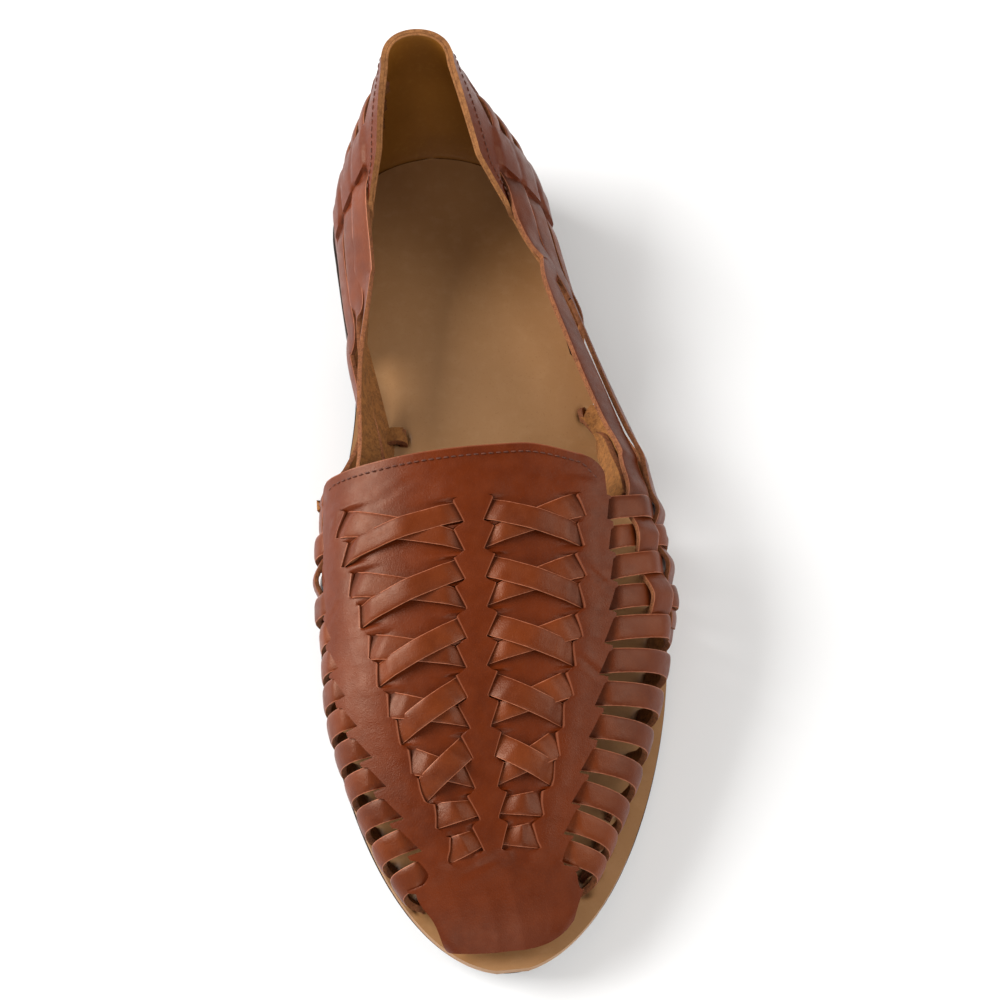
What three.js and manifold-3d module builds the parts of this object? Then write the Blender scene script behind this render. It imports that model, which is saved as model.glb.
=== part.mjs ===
// A huarache sandal for the left foot: a woven leather upper on a tan insole, a dark outsole and a low
// heel.
//
// Millimetres. X points to the outer (lateral) side of the foot, Y to the heel and Z up. The origin is on
// the floor, under the middle of the sandal's box. Every surface follows the last, which the tables below
// describe.

import * as THREE from 'three';
import { mergeVertices } from 'three/addons/utils/BufferGeometryUtils.js';
import Module from 'manifold-3d';

const wasm = await Module();
wasm.setup();

// ---------------------------------------------------------------- driving sizes

const LENGTH = 265; // outsole, toe tip to heel back
const BALL_WIDTH = 102; // outsole across the ball
const HEEL_WIDTH = 68; // outsole across the heel
const BALL_Y = -35; // where the ball is widest
const HEEL_Y = 97; // where the heel is widest

const OUTSOLE_THICK = 4.5;
const INSOLE_THICK = 2.5;
const GAP = 0.3; // between touching pieces
const HEEL_FRONT_Y = 64; // front face of the heel lift
const HEEL_INSET = 0.9; // heel lift inside the outsole's edge

const WALL = 2; // leather of the plate and the straps
const COUNTER_WALL = 2.6; // leather and lining of the heel counter
const STRAP_WIDTH = 6.8; // side straps and cross straps
const FOLDED_UNDER = 4; // how far a side strap starts under the plate
const ROWS = 12; // cross straps, from the throat to the toe
const FIRST_ROW_Y = -13; // inner slits, next to the spine
const ROW_PITCH = 7.9;

const BULGE_HEIGHT = 11; // widest level of the forepart above the insole
const TUCK = 4; // how far the straps turn in below that level
const DOME_POWER = 2.35; // roundness of the forepart's section, where 2 is an ellipse
const SPINE_HALF = 4.3; // ridge between the two columns of slits, half its width
const COUNTER_INSET = 1.1; // heel counter inside the outsole's edge
const COUNTER_FRONT_Y = 52; // front corner of the counter, at the sole
const COUNTER_SWELL = [2.2, 2.2, 5]; // how far the counter swells at its inner side, back and outer side

// Outline of the sole between its two round ends: half its width, and where its middle lies.
const OUTLINE = [
  { y: BALL_Y, half: BALL_WIDTH / 2, middle: 4.1 },
  { y: -10, half: 48.3, middle: 4.5 },
  { y: 15, half: 41.5, middle: 5.5 },
  { y: 45, half: 35.5, middle: 5.5 },
  { y: 72, half: 34.5, middle: 3.0 },
  { y: HEEL_Y, half: HEEL_WIDTH / 2, middle: 1.5 },
];
const TOE_SWING = 7; // how far the toe tip lies to the inner side of the ball's middle

// Height of the outsole's underside above the floor: toe spring, ball, waist and heel seat.
const RISE = [
  { y: -132.5, z: 5.5 },
  { y: -110, z: 2.4 },
  { y: -92, z: 0.5 },
  { y: -80, z: 0 },
  { y: -40, z: 0 },
  { y: -20, z: 0.8 },
  { y: 0, z: 2.8 },
  { y: 20, z: 5.4 },
  { y: 45, z: 8.3 },
  { y: 60, z: 9.2 },
  { y: 132.5, z: 9.2 },
];

// The forepart of the last: crown height above the floor, width over the sole's own, sideways shift from
// the sole's middle, and how far round the girth its ridge line lies from the crown.
const LAST = [
  { y: -132, crown: 14.5, wider: -1.6, shift: -2.2, ridge: 1.8 },
  { y: -122, crown: 22.0, wider: -2.2, shift: -2.6, ridge: 0.8 },
  { y: -112, crown: 26.5, wider: -2.6, shift: -3.0, ridge: -1.6 },
  { y: -100, crown: 30.5, wider: -2.4, shift: -3.3, ridge: -2.9 },
  { y: -80, crown: 35.5, wider: -1.5, shift: -2.8, ridge: -5.0 },
  { y: -60, crown: 40.5, wider: -0.2, shift: -2.0, ridge: -7.1 },
  { y: -35, crown: 46.0, wider: 0.4, shift: 0, ridge: -8.2 },
  { y: -10, crown: 51.0, wider: 1.7, shift: 0, ridge: -7.0 },
  { y: 12, crown: 54.5, wider: 5.2, shift: -0.9, ridge: -6.6 },
];

// Edge of the vamp plate, as girth from the ridge to its inner (medial) and outer (lateral) side.
const PLATE = [
  { y: -128, medial: 16.5, lateral: 10 },
  { y: -124, medial: 19.2, lateral: 17.5 },
  { y: -119, medial: 20.5, lateral: 21 },
  { y: -111, medial: 22, lateral: 22 },
  { y: -107, medial: 17.5, lateral: 18 },
  { y: -99, medial: 21.2, lateral: 21.2 },
  { y: -82, medial: 28.5, lateral: 28 },
  { y: -65, medial: 35.3, lateral: 33.7 },
  { y: -48, medial: 41.5, lateral: 37 },
  { y: -30, medial: 46.5, lateral: 38.8 },
  { y: -8, medial: 48, lateral: 38.6 },
  { y: 5, medial: 48, lateral: 37.5 },
];

// The two columns of slits: girth from the ridge to the outer slits, and where each row's outer slit lies.
const SLITS = [
  { y: -102, medial: 11, lateral: 11.2 },
  { y: -86, medial: 17.2, lateral: 17.9 },
  { y: -62.5, medial: 24, lateral: 25.1 },
  { y: -37.5, medial: 32.3, lateral: 29 },
  { y: -11, medial: 39, lateral: 30.5 },
];
const SLIT_Y = {
  medial: [-9.5, -18.5, -27.5, -37, -46, -54, -62.5, -70, -78, -86, -93, -102],
  lateral: [-13, -21.5, -30, -38.5, -46.5, -54, -62, -70, -77.5, -85, -92.5, -100.5],
};

// The side straps spread a little more than the slits. Their roots are evenly spaced, and each one's end
// lies some way to the heel of its root, or to the toe where that is negative.
const SIDE_STRAPS = {
  medial: { first: -10.5, pitch: 8.7, swing: [0, 0, 0, 0, 0, -0.3, -1, -1.4, -2, -3.2, -4.6, -5.2] },
  lateral: { first: -13.5, pitch: 8.5, swing: [5.5, 6.5, 6.5, 5, 4, 1.8, 0.8, -2, -3, -4.5, -5.6, -5.6] },
};

// Collar of the heel counter, from its wings to the heel: plan half width, middle and height.
const COLLAR = [
  { y: 79, half: 22.0, middle: 0.8, z: 45.5 },
  { y: 86, half: 18.6, middle: -1.9, z: 49 },
  { y: 94, half: 16.6, middle: -3.3, z: 54 },
  { y: 104, half: 14.8, middle: -4.2, z: 60 },
  { y: 115, half: 12.6, middle: -5.0, z: 67 },
  { y: 123, half: 10.8, middle: -5.3, z: 71 },
];
const COLLAR_BACK_Y = 133;
const COLLAR_BACK_Z = 74;

// Long straps, from the counter's front slits to the forepart: width, how high up the counter each starts,
// the places that it passes in the open waist with the way it faces there, and the places on the forepart's
// skin, each by its y, girth from the crown and lift.
const LONG_STRAPS = [
  {
    side: 1,
    width: 9,
    counter: 0.72,
    waist: [
      { at: [30.6, 64.5, 40], facing: [0.9, -0.1, 0.42] },
      { at: [35, 47.5, 38], facing: [0.8, -0.1, 0.6] },
      { at: [39, 32.4, 36.8], facing: [0.74, 0, 0.67] },
      { at: [43, 17.5, 36.3], facing: [0.76, 0, 0.65] },
    ],
    skin: [[2, 45.6, -0.6], [-14, 44.4, 0.9], [-30, 46, 0.9], [-48, 49, 0.4]],
  },
  {
    side: 1,
    width: 8.2,
    counter: 0.53,
    waist: [
      { at: [38.2, 62, 29.5], facing: [0.95, 0, 0.3] },
      { at: [42.6, 44, 28.8], facing: [0.95, 0, 0.3] },
      { at: [46.4, 29, 28.8], facing: [0.93, 0, 0.36] },
      { at: [49.6, 16, 30], facing: [0.92, 0, 0.38] },
    ],
    skin: [[2, 55.2, 0.6], [-14, 55.4, 0.9], [-30, 56.5, 0.9], [-45, 57.4, 0.4]],
  },
  {
    side: 1,
    width: 7.4,
    counter: 0.3,
    waist: [
      { at: [40, 54, 18.5], facing: [0.99, 0, 0.1] },
      { at: [44, 36, 18.5], facing: [0.99, 0, 0.1] },
      { at: [49, 20, 20], facing: [0.97, 0, 0.2] },
    ],
    skin: [[4, 64.5, 0.7], [-12, 66, 0.8], [-32, 66.5, 0.5]],
  },
  {
    side: -1,
    width: 9,
    counter: 0.72,
    waist: [
      { at: [-25.6, 64, 38], facing: [-0.97, 0, 0.1] },
      { at: [-28.6, 46, 35.4], facing: [-0.96, 0, -0.15] },
      { at: [-29.4, 30, 34.8], facing: [-0.9, 0, -0.4] },
      { at: [-30.4, 13, 36], facing: [-0.8, 0, -0.5] },
    ],
    skin: [[0, 45, -3.3], [-12, 47, -3]],
  },
  {
    side: -1,
    width: 8.2,
    counter: 0.53,
    waist: [
      { at: [-28.4, 60, 29.5], facing: [-0.96, 0, -0.1] },
      { at: [-27.4, 47, 27], facing: [-0.85, -0.1, -0.45] },
      { at: [-25.8, 35, 22.5], facing: [-0.8, -0.2, -0.5] },
      { at: [-24.8, 24, 18.5], facing: [-0.8, -0.2, -0.5] },
    ],
    skin: [],
  },
  {
    side: -1,
    width: 7.4,
    counter: 0.3,
    waist: [
      { at: [-31.5, 55, 18.4], facing: [-0.99, 0, 0.1] },
      { at: [-31.5, 38, 19.2], facing: [-0.99, 0, 0.05] },
      { at: [-34.5, 22, 20], facing: [-0.97, 0, 0.1] },
    ],
    skin: [[4, 60, 0.7], [-14, 63, 0.8], [-33, 65, 0.5]],
  },
];

// ---------------------------------------------------------------- curves through the tables

// A smooth curve through one column of a table that never swings past its rows.
function track(table, column) {
  const at = table.map((row) => row.y);
  const value = table.map((row) => row[column]);
  const rise = at.slice(1).map((y, i) => (value[i + 1] - value[i]) / (y - at[i]));
  const slope = value.map((_, i) => {
    if (i === 0) return rise[0];
    if (i === value.length - 1) return rise[i - 1];
    const product = rise[i - 1] * rise[i];
    return product <= 0 ? 0 : (2 * product) / (rise[i - 1] + rise[i]);
  });
  return (y) => {
    if (y <= at[0]) return value[0];
    if (y >= at[at.length - 1]) return value[value.length - 1];
    const i = at.findIndex((end, k) => k > 0 && y <= end) - 1;
    const span = at[i + 1] - at[i];
    const t = (y - at[i]) / span;
    const a = value[i] * (1 + 2 * t) * (1 - t) ** 2 + slope[i] * span * t * (1 - t) ** 2;
    const b = value[i + 1] * t * t * (3 - 2 * t) - slope[i + 1] * span * t * t * (1 - t);
    return a + b;
  };
}

const TOE_Y = -LENGTH / 2;
const BACK_Y = LENGTH / 2;
const bodyHalf = track(OUTLINE, 'half');
const bodyMiddle = track(OUTLINE, 'middle');
const rise = track(RISE, 'z');
const crown = track(LAST, 'crown');
const wider = track(LAST, 'wider');
const shift = track(LAST, 'shift');
const ridge = track(LAST, 'ridge');

function soleHalf(y) {
  if (y < BALL_Y) {
    const t = Math.min(1, (BALL_Y - y) / (BALL_Y - TOE_Y));
    return (BALL_WIDTH / 2) * (1 - t ** 1.7) ** 0.5;
  }
  if (y > HEEL_Y) {
    const t = Math.min(1, (y - HEEL_Y) / (BACK_Y - HEEL_Y));
    return (HEEL_WIDTH / 2) * (1 - t ** 2.2) ** 0.5;
  }
  return bodyHalf(y);
}

function soleMiddle(y) {
  const t = Math.min(1, Math.max(0, (BALL_Y - y) / (BALL_Y - TOE_Y)));
  return bodyMiddle(y) - TOE_SWING * t ** 1.22;
}

const insoleTop = (y) => rise(y) + OUTSOLE_THICK + GAP + INSOLE_THICK;
const lerp = THREE.MathUtils.lerp;
const smooth = THREE.MathUtils.smoothstep;

// ---------------------------------------------------------------- solids from grids

// A closed solid between an outer and an inner skin, each a function of a row and a column number.
function shell(rows, columns, outer, inner) {
  const points = [];
  const faces = [];
  const index = (side, i, j) => (side * (rows + 1) + i) * (columns + 1) + j;
  for (const skin of [outer, inner]) {
    for (let i = 0; i <= rows; i++) {
      for (let j = 0; j <= columns; j++) {
        points.push(...skin(i, j).toArray());
      }
    }
  }
  const quad = (a, b, c, d) => faces.push(a, b, c, a, c, d);
  for (let i = 0; i < rows; i++) {
    for (let j = 0; j < columns; j++) {
      quad(index(0, i, j), index(0, i + 1, j), index(0, i + 1, j + 1), index(0, i, j + 1));
      quad(index(1, i, j), index(1, i, j + 1), index(1, i + 1, j + 1), index(1, i + 1, j));
    }
    quad(index(0, i, 0), index(1, i, 0), index(1, i + 1, 0), index(0, i + 1, 0));
    quad(index(0, i, columns), index(0, i + 1, columns), index(1, i + 1, columns), index(1, i, columns));
  }
  for (let j = 0; j < columns; j++) {
    quad(index(0, 0, j), index(0, 0, j + 1), index(1, 0, j + 1), index(1, 0, j));
    quad(index(0, rows, j), index(1, rows, j), index(1, rows, j + 1), index(0, rows, j + 1));
  }
  return solid(points, faces);
}

// Points and faces as a solid, turned right way out.
function solid(points, faces) {
  const geometry = new THREE.BufferGeometry();
  geometry.setAttribute('position', new THREE.Float32BufferAttribute(points, 3));
  geometry.setIndex(volume(points, faces) < 0 ? faces.reverse() : faces);
  const merged = mergeVertices(geometry, 1e-3);
  const triVerts = dropFlat(merged.index.array);
  const vertProperties = new Float32Array(merged.attributes.position.array);
  return new wasm.Manifold(new wasm.Mesh({ numProp: 3, vertProperties, triVerts }));
}

function volume(points, faces) {
  const corner = (k) => new THREE.Vector3().fromArray(points, 3 * faces[k]);
  let six = 0;
  for (let k = 0; k < faces.length; k += 3) {
    six += corner(k).dot(corner(k + 1).cross(corner(k + 2)));
  }
  return six;
}

// Triangles that lost a corner where the grid comes to a point are left out.
function dropFlat(index) {
  const kept = [];
  for (let k = 0; k < index.length; k += 3) {
    const [a, b, c] = index.subarray(k, k + 3);
    if (a !== b && b !== c && a !== c) kept.push(a, b, c);
  }
  return new Uint32Array(kept);
}

function part(name, body, colour, roughness) {
  const { vertProperties, triVerts } = body.getMesh();
  const geometry = new THREE.BufferGeometry();
  geometry.setAttribute('position', new THREE.BufferAttribute(vertProperties, 3));
  geometry.setIndex(new THREE.BufferAttribute(triVerts, 1));
  geometry.computeVertexNormals();
  const material = new THREE.MeshStandardMaterial({ color: colour, roughness, metalness: 0 });
  const mesh = new THREE.Mesh(geometry, material);
  mesh.name = name;
  return mesh;
}

// ---------------------------------------------------------------- sole

// Stations along the sole, closer together towards its round ends.
function station(i, count, from, to) {
  return lerp(from, to, (1 - Math.cos((Math.PI * i) / count)) / 2);
}

const SOLE_ROWS = 38;
const SOLE_COLUMNS = 4;

// Where y lies on the whole sole, for a layer whose round heel end stops at back.
function squeezed(y, back) {
  return y > HEEL_Y ? HEEL_Y + ((y - HEEL_Y) * (BACK_Y - HEEL_Y)) / (back - HEEL_Y) : y;
}

function outsole() {
  const place = (height) => (i, j) => {
    const y = station(i, SOLE_ROWS, TOE_Y, BACK_Y);
    const x = soleMiddle(y) + soleHalf(y) * lerp(-1, 1, j / SOLE_COLUMNS);
    return new THREE.Vector3(x, y, height(y));
  };
  const top = (y) => rise(y) + OUTSOLE_THICK;
  return part('outsole', shell(SOLE_ROWS, SOLE_COLUMNS, place(top), place(rise)), 0x2a1a12, 0.7);
}

// The insole shows to the sole's edge in front and stands inside the counter behind.
function insoleInset(y) {
  const behind = COUNTER_INSET + COUNTER_WALL + GAP + 0.6;
  return lerp(0.4, behind, smooth(y, COUNTER_FRONT_Y - 10, COUNTER_FRONT_Y - 2));
}

function insole() {
  const bottom = (y) => insoleTop(y) - INSOLE_THICK;
  const back = BACK_Y - insoleInset(BACK_Y);
  const place = (height) => (i, j) => {
    const y = station(i, SOLE_ROWS, TOE_Y + insoleInset(TOE_Y), back);
    const reach = soleHalf(squeezed(y, back)) * (1 - insoleInset(y) / soleHalf(Math.min(y, HEEL_Y)));
    const x = soleMiddle(y) + reach * lerp(-1, 1, j / SOLE_COLUMNS);
    return new THREE.Vector3(x, y, height(y));
  };
  const body = shell(SOLE_ROWS, SOLE_COLUMNS, place(insoleTop), place(bottom));
  return part('insole', body, 0x96683f, 0.55);
}

function heel() {
  const height = rise(BACK_Y) - GAP;
  const back = BACK_Y - HEEL_INSET;
  const rows = 18;
  const place = (z) => (i, j) => {
    const y = lerp(HEEL_FRONT_Y, back, Math.sin((Math.PI / 2) * (i / rows)));
    const reach = soleHalf(squeezed(y, back)) * (1 - HEEL_INSET / (HEEL_WIDTH / 2));
    return new THREE.Vector3(soleMiddle(y) + reach * lerp(-1, 1, j / SOLE_COLUMNS), y, z);
  };
  return part('heel', shell(rows, SOLE_COLUMNS, place(height), place(0)), 0x24160f, 0.7);
}

// ---------------------------------------------------------------- the last's skin

// The straps end just above the insole, over their whole width where it slopes.
function featherHeight(y) {
  const slope = (insoleTop(y + 1) - insoleTop(y - 1)) / 2;
  return insoleTop(y) + GAP + (Math.abs(slope) * STRAP_WIDTH) / 2 + 0.2;
}

// A section of the forepart across the foot, from the inner to the outer feather line, with its girth.
const sections = new Map();
function section(y) {
  if (sections.has(y)) return sections.get(y);
  const floor = featherHeight(y);
  const bulge = Math.min(BULGE_HEIGHT, 0.42 * (crown(y) - floor));
  const half = soleHalf(y) + wider(y);
  const middle = soleMiddle(y) + shift(y);
  const points = [];
  for (let k = 0; k < 6; k++) {
    const turn = (Math.PI / 2) * (k / 6);
    points.push([-half + TUCK * (1 - Math.sin(turn)), floor + bulge * (1 - Math.cos(turn))]);
  }
  for (let k = 0; k <= 48; k++) {
    const turn = (Math.PI * k) / 48;
    const across = Math.sign(-Math.cos(turn)) * Math.abs(Math.cos(turn)) ** (2 / DOME_POWER);
    const up = Math.abs(Math.sin(turn)) ** (2 / DOME_POWER);
    points.push([half * across, floor + bulge + (crown(y) - floor - bulge) * up]);
  }
  for (let k = 5; k >= 0; k--) {
    points.push([-points[k][0], points[k][1]]);
  }
  const girth = [0];
  for (let k = 1; k < points.length; k++) {
    girth.push(girth[k - 1] + Math.hypot(points[k][0] - points[k - 1][0], points[k][1] - points[k - 1][1]));
  }
  const found = { points, girth, middle, half: girth[girth.length - 1] / 2 };
  sections.set(y, found);
  return found;
}

// A point of the forepart at girth s from the crown, to the outer side where s is positive.
function onVamp(y, s) {
  const { points, girth, middle, half } = section(y);
  const g = THREE.MathUtils.clamp(s + half, 0, 2 * half);
  const k = Math.max(1, girth.findIndex((value) => value >= g - 1e-9));
  const t = (g - girth[k - 1]) / (girth[k] - girth[k - 1]);
  const x = lerp(points[k - 1][0], points[k][0], t);
  return new THREE.Vector3(middle + x, y, lerp(points[k - 1][1], points[k][1], t));
}

function vampNormal(y, s) {
  const reach = section(y).half;
  const near = THREE.MathUtils.clamp(s, -reach + 1, reach - 1);
  const across = onVamp(y, near + 1).sub(onVamp(y, near - 1));
  const along = onVamp(y + 0.8, near).sub(onVamp(y - 0.8, near));
  return across.cross(along).normalize();
}

// The same point lifted off the skin.
function vamp(y, s, lift = 0) {
  return onVamp(y, s).addScaledVector(vampNormal(y, s), lift);
}

// Counter: its foot runs round the sole's edge and its collar round the heel, matched by their lengths.
function halfLoop(count, from, back, plan) {
  const points = [];
  for (const side of [-1, 1]) {
    for (let k = 0; k <= count; k++) {
      const t = side < 0 ? k / count : 1 - k / count;
      const y = lerp(from, back, Math.sin((Math.PI / 2) * t));
      if (side > 0 && k === 0) continue;
      points.push(plan(y, side));
    }
  }
  return new THREE.CatmullRomCurve3(points);
}

function counterFoot(y, side) {
  const back = BACK_Y - COUNTER_INSET;
  const reach = soleHalf(squeezed(y, back)) * (1 - COUNTER_INSET / soleHalf(Math.min(y, HEEL_Y)));
  return new THREE.Vector3(soleMiddle(y) + side * reach, y, rise(y) + OUTSOLE_THICK + GAP);
}

const collarHalf = track(COLLAR, 'half');
const collarMiddle = track(COLLAR, 'middle');
const collarHeight = track(COLLAR, 'z');

function counterCollar(y, side) {
  const last = COLLAR[COLLAR.length - 1];
  const t = Math.max(0, (y - last.y) / (COLLAR_BACK_Y - last.y));
  const reach = t > 0 ? last.half * Math.sqrt(Math.max(0, 1 - t ** 2.2)) : collarHalf(y);
  const z = collarHeight(y) + (COLLAR_BACK_Z - last.z) * t * (2 - t);
  return new THREE.Vector3(collarMiddle(y) + side * reach, y, z);
}

const foot = halfLoop(16, COUNTER_FRONT_Y, BACK_Y - COUNTER_INSET, counterFoot);
const collar = halfLoop(16, COLLAR[0].y, COLLAR_BACK_Y, counterCollar);

// A point of the counter: t goes round the heel from the inner to the outer side, v from the sole to the
// collar.
function onCounter(t, v) {
  const low = foot.getPointAt(t);
  const high = collar.getPointAt(t);
  const out = new THREE.Vector3(0, 0, 1).cross(foot.getTangentAt(t)).normalize();
  const [inner, back, outer] = COUNTER_SWELL;
  const side = t < 0.5 ? lerp(inner, back, 2 * t) : lerp(back, outer, smooth(t, 0.5, 0.85));
  const swell = side * Math.sin(Math.PI * v ** 0.7);
  const lean = v ** 1.3;
  const point = low.clone().lerp(high, lean);
  point.z = lerp(low.z, high.z, v);
  return point.addScaledVector(out, swell);
}

function counterNormal(t, v) {
  const a = THREE.MathUtils.clamp(t, 0.01, 0.99);
  const b = THREE.MathUtils.clamp(v, 0.02, 0.98);
  const round = onCounter(a + 0.01, b).sub(onCounter(a - 0.01, b));
  const up = onCounter(a, b + 0.02).sub(onCounter(a, b - 0.02));
  return up.cross(round).normalize();
}

function counter(t, v, lift = 0) {
  return onCounter(t, v).addScaledVector(counterNormal(t, v), lift);
}

// ---------------------------------------------------------------- upper

function vampPlate() {
  const medial = track(PLATE, 'medial');
  const lateral = track(PLATE, 'lateral');
  const rows = 26;
  const columns = 14;
  const skin = (lift) => (i, j) => {
    const y = lerp(PLATE[0].y, PLATE[PLATE.length - 1].y, i / rows);
    const s = ridge(y) + lerp(-medial(y), lateral(y), j / columns);
    return vamp(y, s, lift);
  };
  return shell(rows, columns, skin(0), skin(-WALL));
}

// A flat strap along a route of places, each with a point and the way that the strap faces there.
function strap(route, width, steps, from, to) {
  const line = new THREE.CatmullRomCurve3(route.map((place) => place.point));
  const facing = new THREE.CatmullRomCurve3(route.map((place) => place.normal));
  const skin = (lift) => (i, j) => {
    const t = i / steps;
    const out = facing.getPoint(t).normalize();
    const across = line.getTangent(t).cross(out).normalize();
    return line
      .getPoint(t)
      .addScaledVector(across, width * (j - 0.5))
      .addScaledVector(out, lift(t));
  };
  return shell(steps, 1, skin(to), skin(from));
}

function vampPlace(y, s, lift = 0) {
  return { point: vamp(y, s, lift), normal: vampNormal(y, s) };
}

function counterPlace(t, v, lift = 0) {
  return { point: counter(t, v, lift), normal: counterNormal(t, v) };
}

const sideName = (side) => (side < 0 ? 'medial' : 'lateral');

// A side strap comes out from under the plate's edge and goes down to the insole.
function sideStrap(row, side) {
  const { first, pitch, swing } = SIDE_STRAPS[sideName(side)];
  const root = first - pitch * row;
  const end = root + swing[row];
  const edge = ridge(root) + side * track(PLATE, sideName(side))(root);
  const start = edge - side * FOLDED_UNDER;
  const reach = side * section(end).half;
  const route = [0, 0.25, 0.5, 0.72, 0.88, 1].map((t) => {
    return vampPlace(lerp(root, end, t), lerp(start, reach, t));
  });
  const top = (t) => lerp(-1.2, -0.2, smooth(t, 0, 0.35));
  return strap(route, STRAP_WIDTH, 7, (t) => top(t) - WALL, top);
}

// A cross strap runs over the plate from an outer slit to an inner slit, its own row's or the next one's.
function crossStrap(from, to, side, height) {
  const tail = 1.5;
  const outerY = SLIT_Y[sideName(side)][from];
  const outerGirth = track(SLITS, sideName(side))(outerY) + tail;
  const innerY = FIRST_ROW_Y - ROW_PITCH * to;
  const a = { y: outerY, s: ridge(outerY) + side * outerGirth };
  const b = { y: innerY, s: ridge(innerY) + side * (SPINE_HALF - tail) };
  const route = [0, 0.25, 0.5, 0.75, 1].map((t) => vampPlace(lerp(a.y, b.y, t), lerp(a.s, b.s, t)));
  const top = (t) => height * Math.min(1, 5 * t, 5 * (1 - t));
  return strap(route, STRAP_WIDTH - 0.6, 5, () => -1, top);
}

function crossStraps() {
  const made = [];
  for (const side of [-1, 1]) {
    for (let row = 0; row < ROWS - 2; row += 2) {
      made.push(crossStrap(row, row + 1, side, 1.3));
      made.push(crossStrap(row + 1, row, side, 2));
    }
    for (let row = ROWS - 2; row < ROWS; row++) {
      made.push(crossStrap(row, row, side, 1.2));
    }
  }
  return made;
}

function counterWall() {
  const rows = 26;
  const columns = 5;
  const skin = (lift) => (i, j) => counter(i / rows, j / columns, lift);
  return shell(rows, columns, skin(0), skin(-COUNTER_WALL));
}

// A long strap leaves the counter and crosses the open waist to the forepart or the insole.
function longStrap({ side, width, counter: height, waist, skin }) {
  const round = (t) => (side < 0 ? t : 1 - t);
  const route = [
    counterPlace(round(0.14), height, -0.6),
    counterPlace(round(0.05), height, -0.2),
    ...waist.map(({ at, facing }) => {
      return { point: new THREE.Vector3(...at), normal: new THREE.Vector3(...facing) };
    }),
    ...skin.map(([y, girth, lift]) => vampPlace(y, side * girth, lift)),
  ];
  return strap(route, width, 24, () => -WALL / 2, () => WALL / 2);
}

function upper() {
  const pieces = [vampPlate(), counterWall(), ...crossStraps()];
  for (const side of [-1, 1]) {
    for (let row = 0; row < ROWS; row++) {
      pieces.push(sideStrap(row, side));
    }
  }
  pieces.push(...LONG_STRAPS.map(longStrap));
  const joined = pieces.reduce((whole, piece) => whole.add(piece));
  return part('upper', joined, 0x8a432b, 0.42);
}

// ---------------------------------------------------------------- the sandal

const sandal = new THREE.Group();
sandal.add(outsole(), heel(), insole(), upper());

const box = new THREE.Box3().setFromObject(sandal, true);
const centre = box.getCenter(new THREE.Vector3());
sandal.position.set(-centre.x, -centre.y, -box.min.z);

export default sandal;
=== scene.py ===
# %% [markdown]
# # A woven leather sandal
# A huarache is one flat sheet of leather that is slit, pulled over a last and laced with straps. This lesson
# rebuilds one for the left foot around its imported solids, in metres, with X to the outer side of the foot, Y
# to the heel and Z up. Each piece starts as a flat sheet, as the maker cuts it, and is bent to its place.
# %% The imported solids
import math

import bpy
import numpy as np
from mathutils import Matrix, Vector


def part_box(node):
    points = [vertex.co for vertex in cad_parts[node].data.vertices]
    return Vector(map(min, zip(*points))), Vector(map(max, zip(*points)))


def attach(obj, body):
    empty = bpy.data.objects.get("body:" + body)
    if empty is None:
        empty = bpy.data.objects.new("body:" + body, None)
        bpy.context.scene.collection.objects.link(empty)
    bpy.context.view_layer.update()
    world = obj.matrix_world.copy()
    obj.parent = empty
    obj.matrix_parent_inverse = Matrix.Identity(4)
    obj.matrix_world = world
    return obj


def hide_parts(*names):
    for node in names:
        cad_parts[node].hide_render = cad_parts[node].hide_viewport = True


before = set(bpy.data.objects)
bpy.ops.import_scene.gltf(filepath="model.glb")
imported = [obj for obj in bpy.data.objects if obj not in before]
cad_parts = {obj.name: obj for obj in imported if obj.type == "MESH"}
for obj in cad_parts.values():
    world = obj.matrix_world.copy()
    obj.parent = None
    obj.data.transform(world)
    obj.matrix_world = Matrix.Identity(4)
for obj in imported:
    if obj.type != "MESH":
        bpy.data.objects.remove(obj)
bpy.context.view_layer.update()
MM = 0.001

# %% [markdown]
# ## Curves of the last
# The last is the wooden foot that a shoe is made on. It is described here by short tables of its width,
# height and middle, with a smooth curve through each column. A sculpted form would do too, but tables keep
# every piece on the same form as the solids. The outline's rows are y, half the width and the middle.
# %% Sizes of the sole, in millimetres
TOE_Y, BALL_Y, HEEL_Y, BACK_Y = -132.5, -35.0, 97.0, 132.5
BALL_HALF, HEEL_HALF = 51.0, 34.0
OUTSOLE_THICK, INSOLE_THICK, GAP = 4.5, 2.5, 0.3
HEEL_FRONT_Y, HEEL_INSET = 64.0, 0.9
COUNTER_INSET, COUNTER_FRONT_Y = 1.1, 52.0
SIDES = ((-1, "inner"), (1, "outer"))
OUTLINE = [(-35, 51, 4.1), (-10, 48.3, 4.5), (15, 41.5, 5.5), (45, 35.5, 5.5), (72, 34.5, 3.0), (97, 34, 1.5)]
RISE = [(-132.5, 5.5), (-110, 2.4), (-92, 0.5), (-80, 0), (-40, 0), (-20, 0.8), (0, 2.8), (20, 5.4),
        (45, 8.3), (60, 9.2), (132.5, 9.2)]


def lerp(a, b, t):
    return a + (b - a) * t


def smooth(x, low, high):
    t = np.clip((np.asarray(x, float) - low) / (high - low), 0, 1)
    return t * t * (3 - 2 * t)


def bell(x, width, power=2):
    """A soft bump: 1 in the middle, next to nothing from twice the width."""
    return np.exp(-((x / width) ** power))


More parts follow.
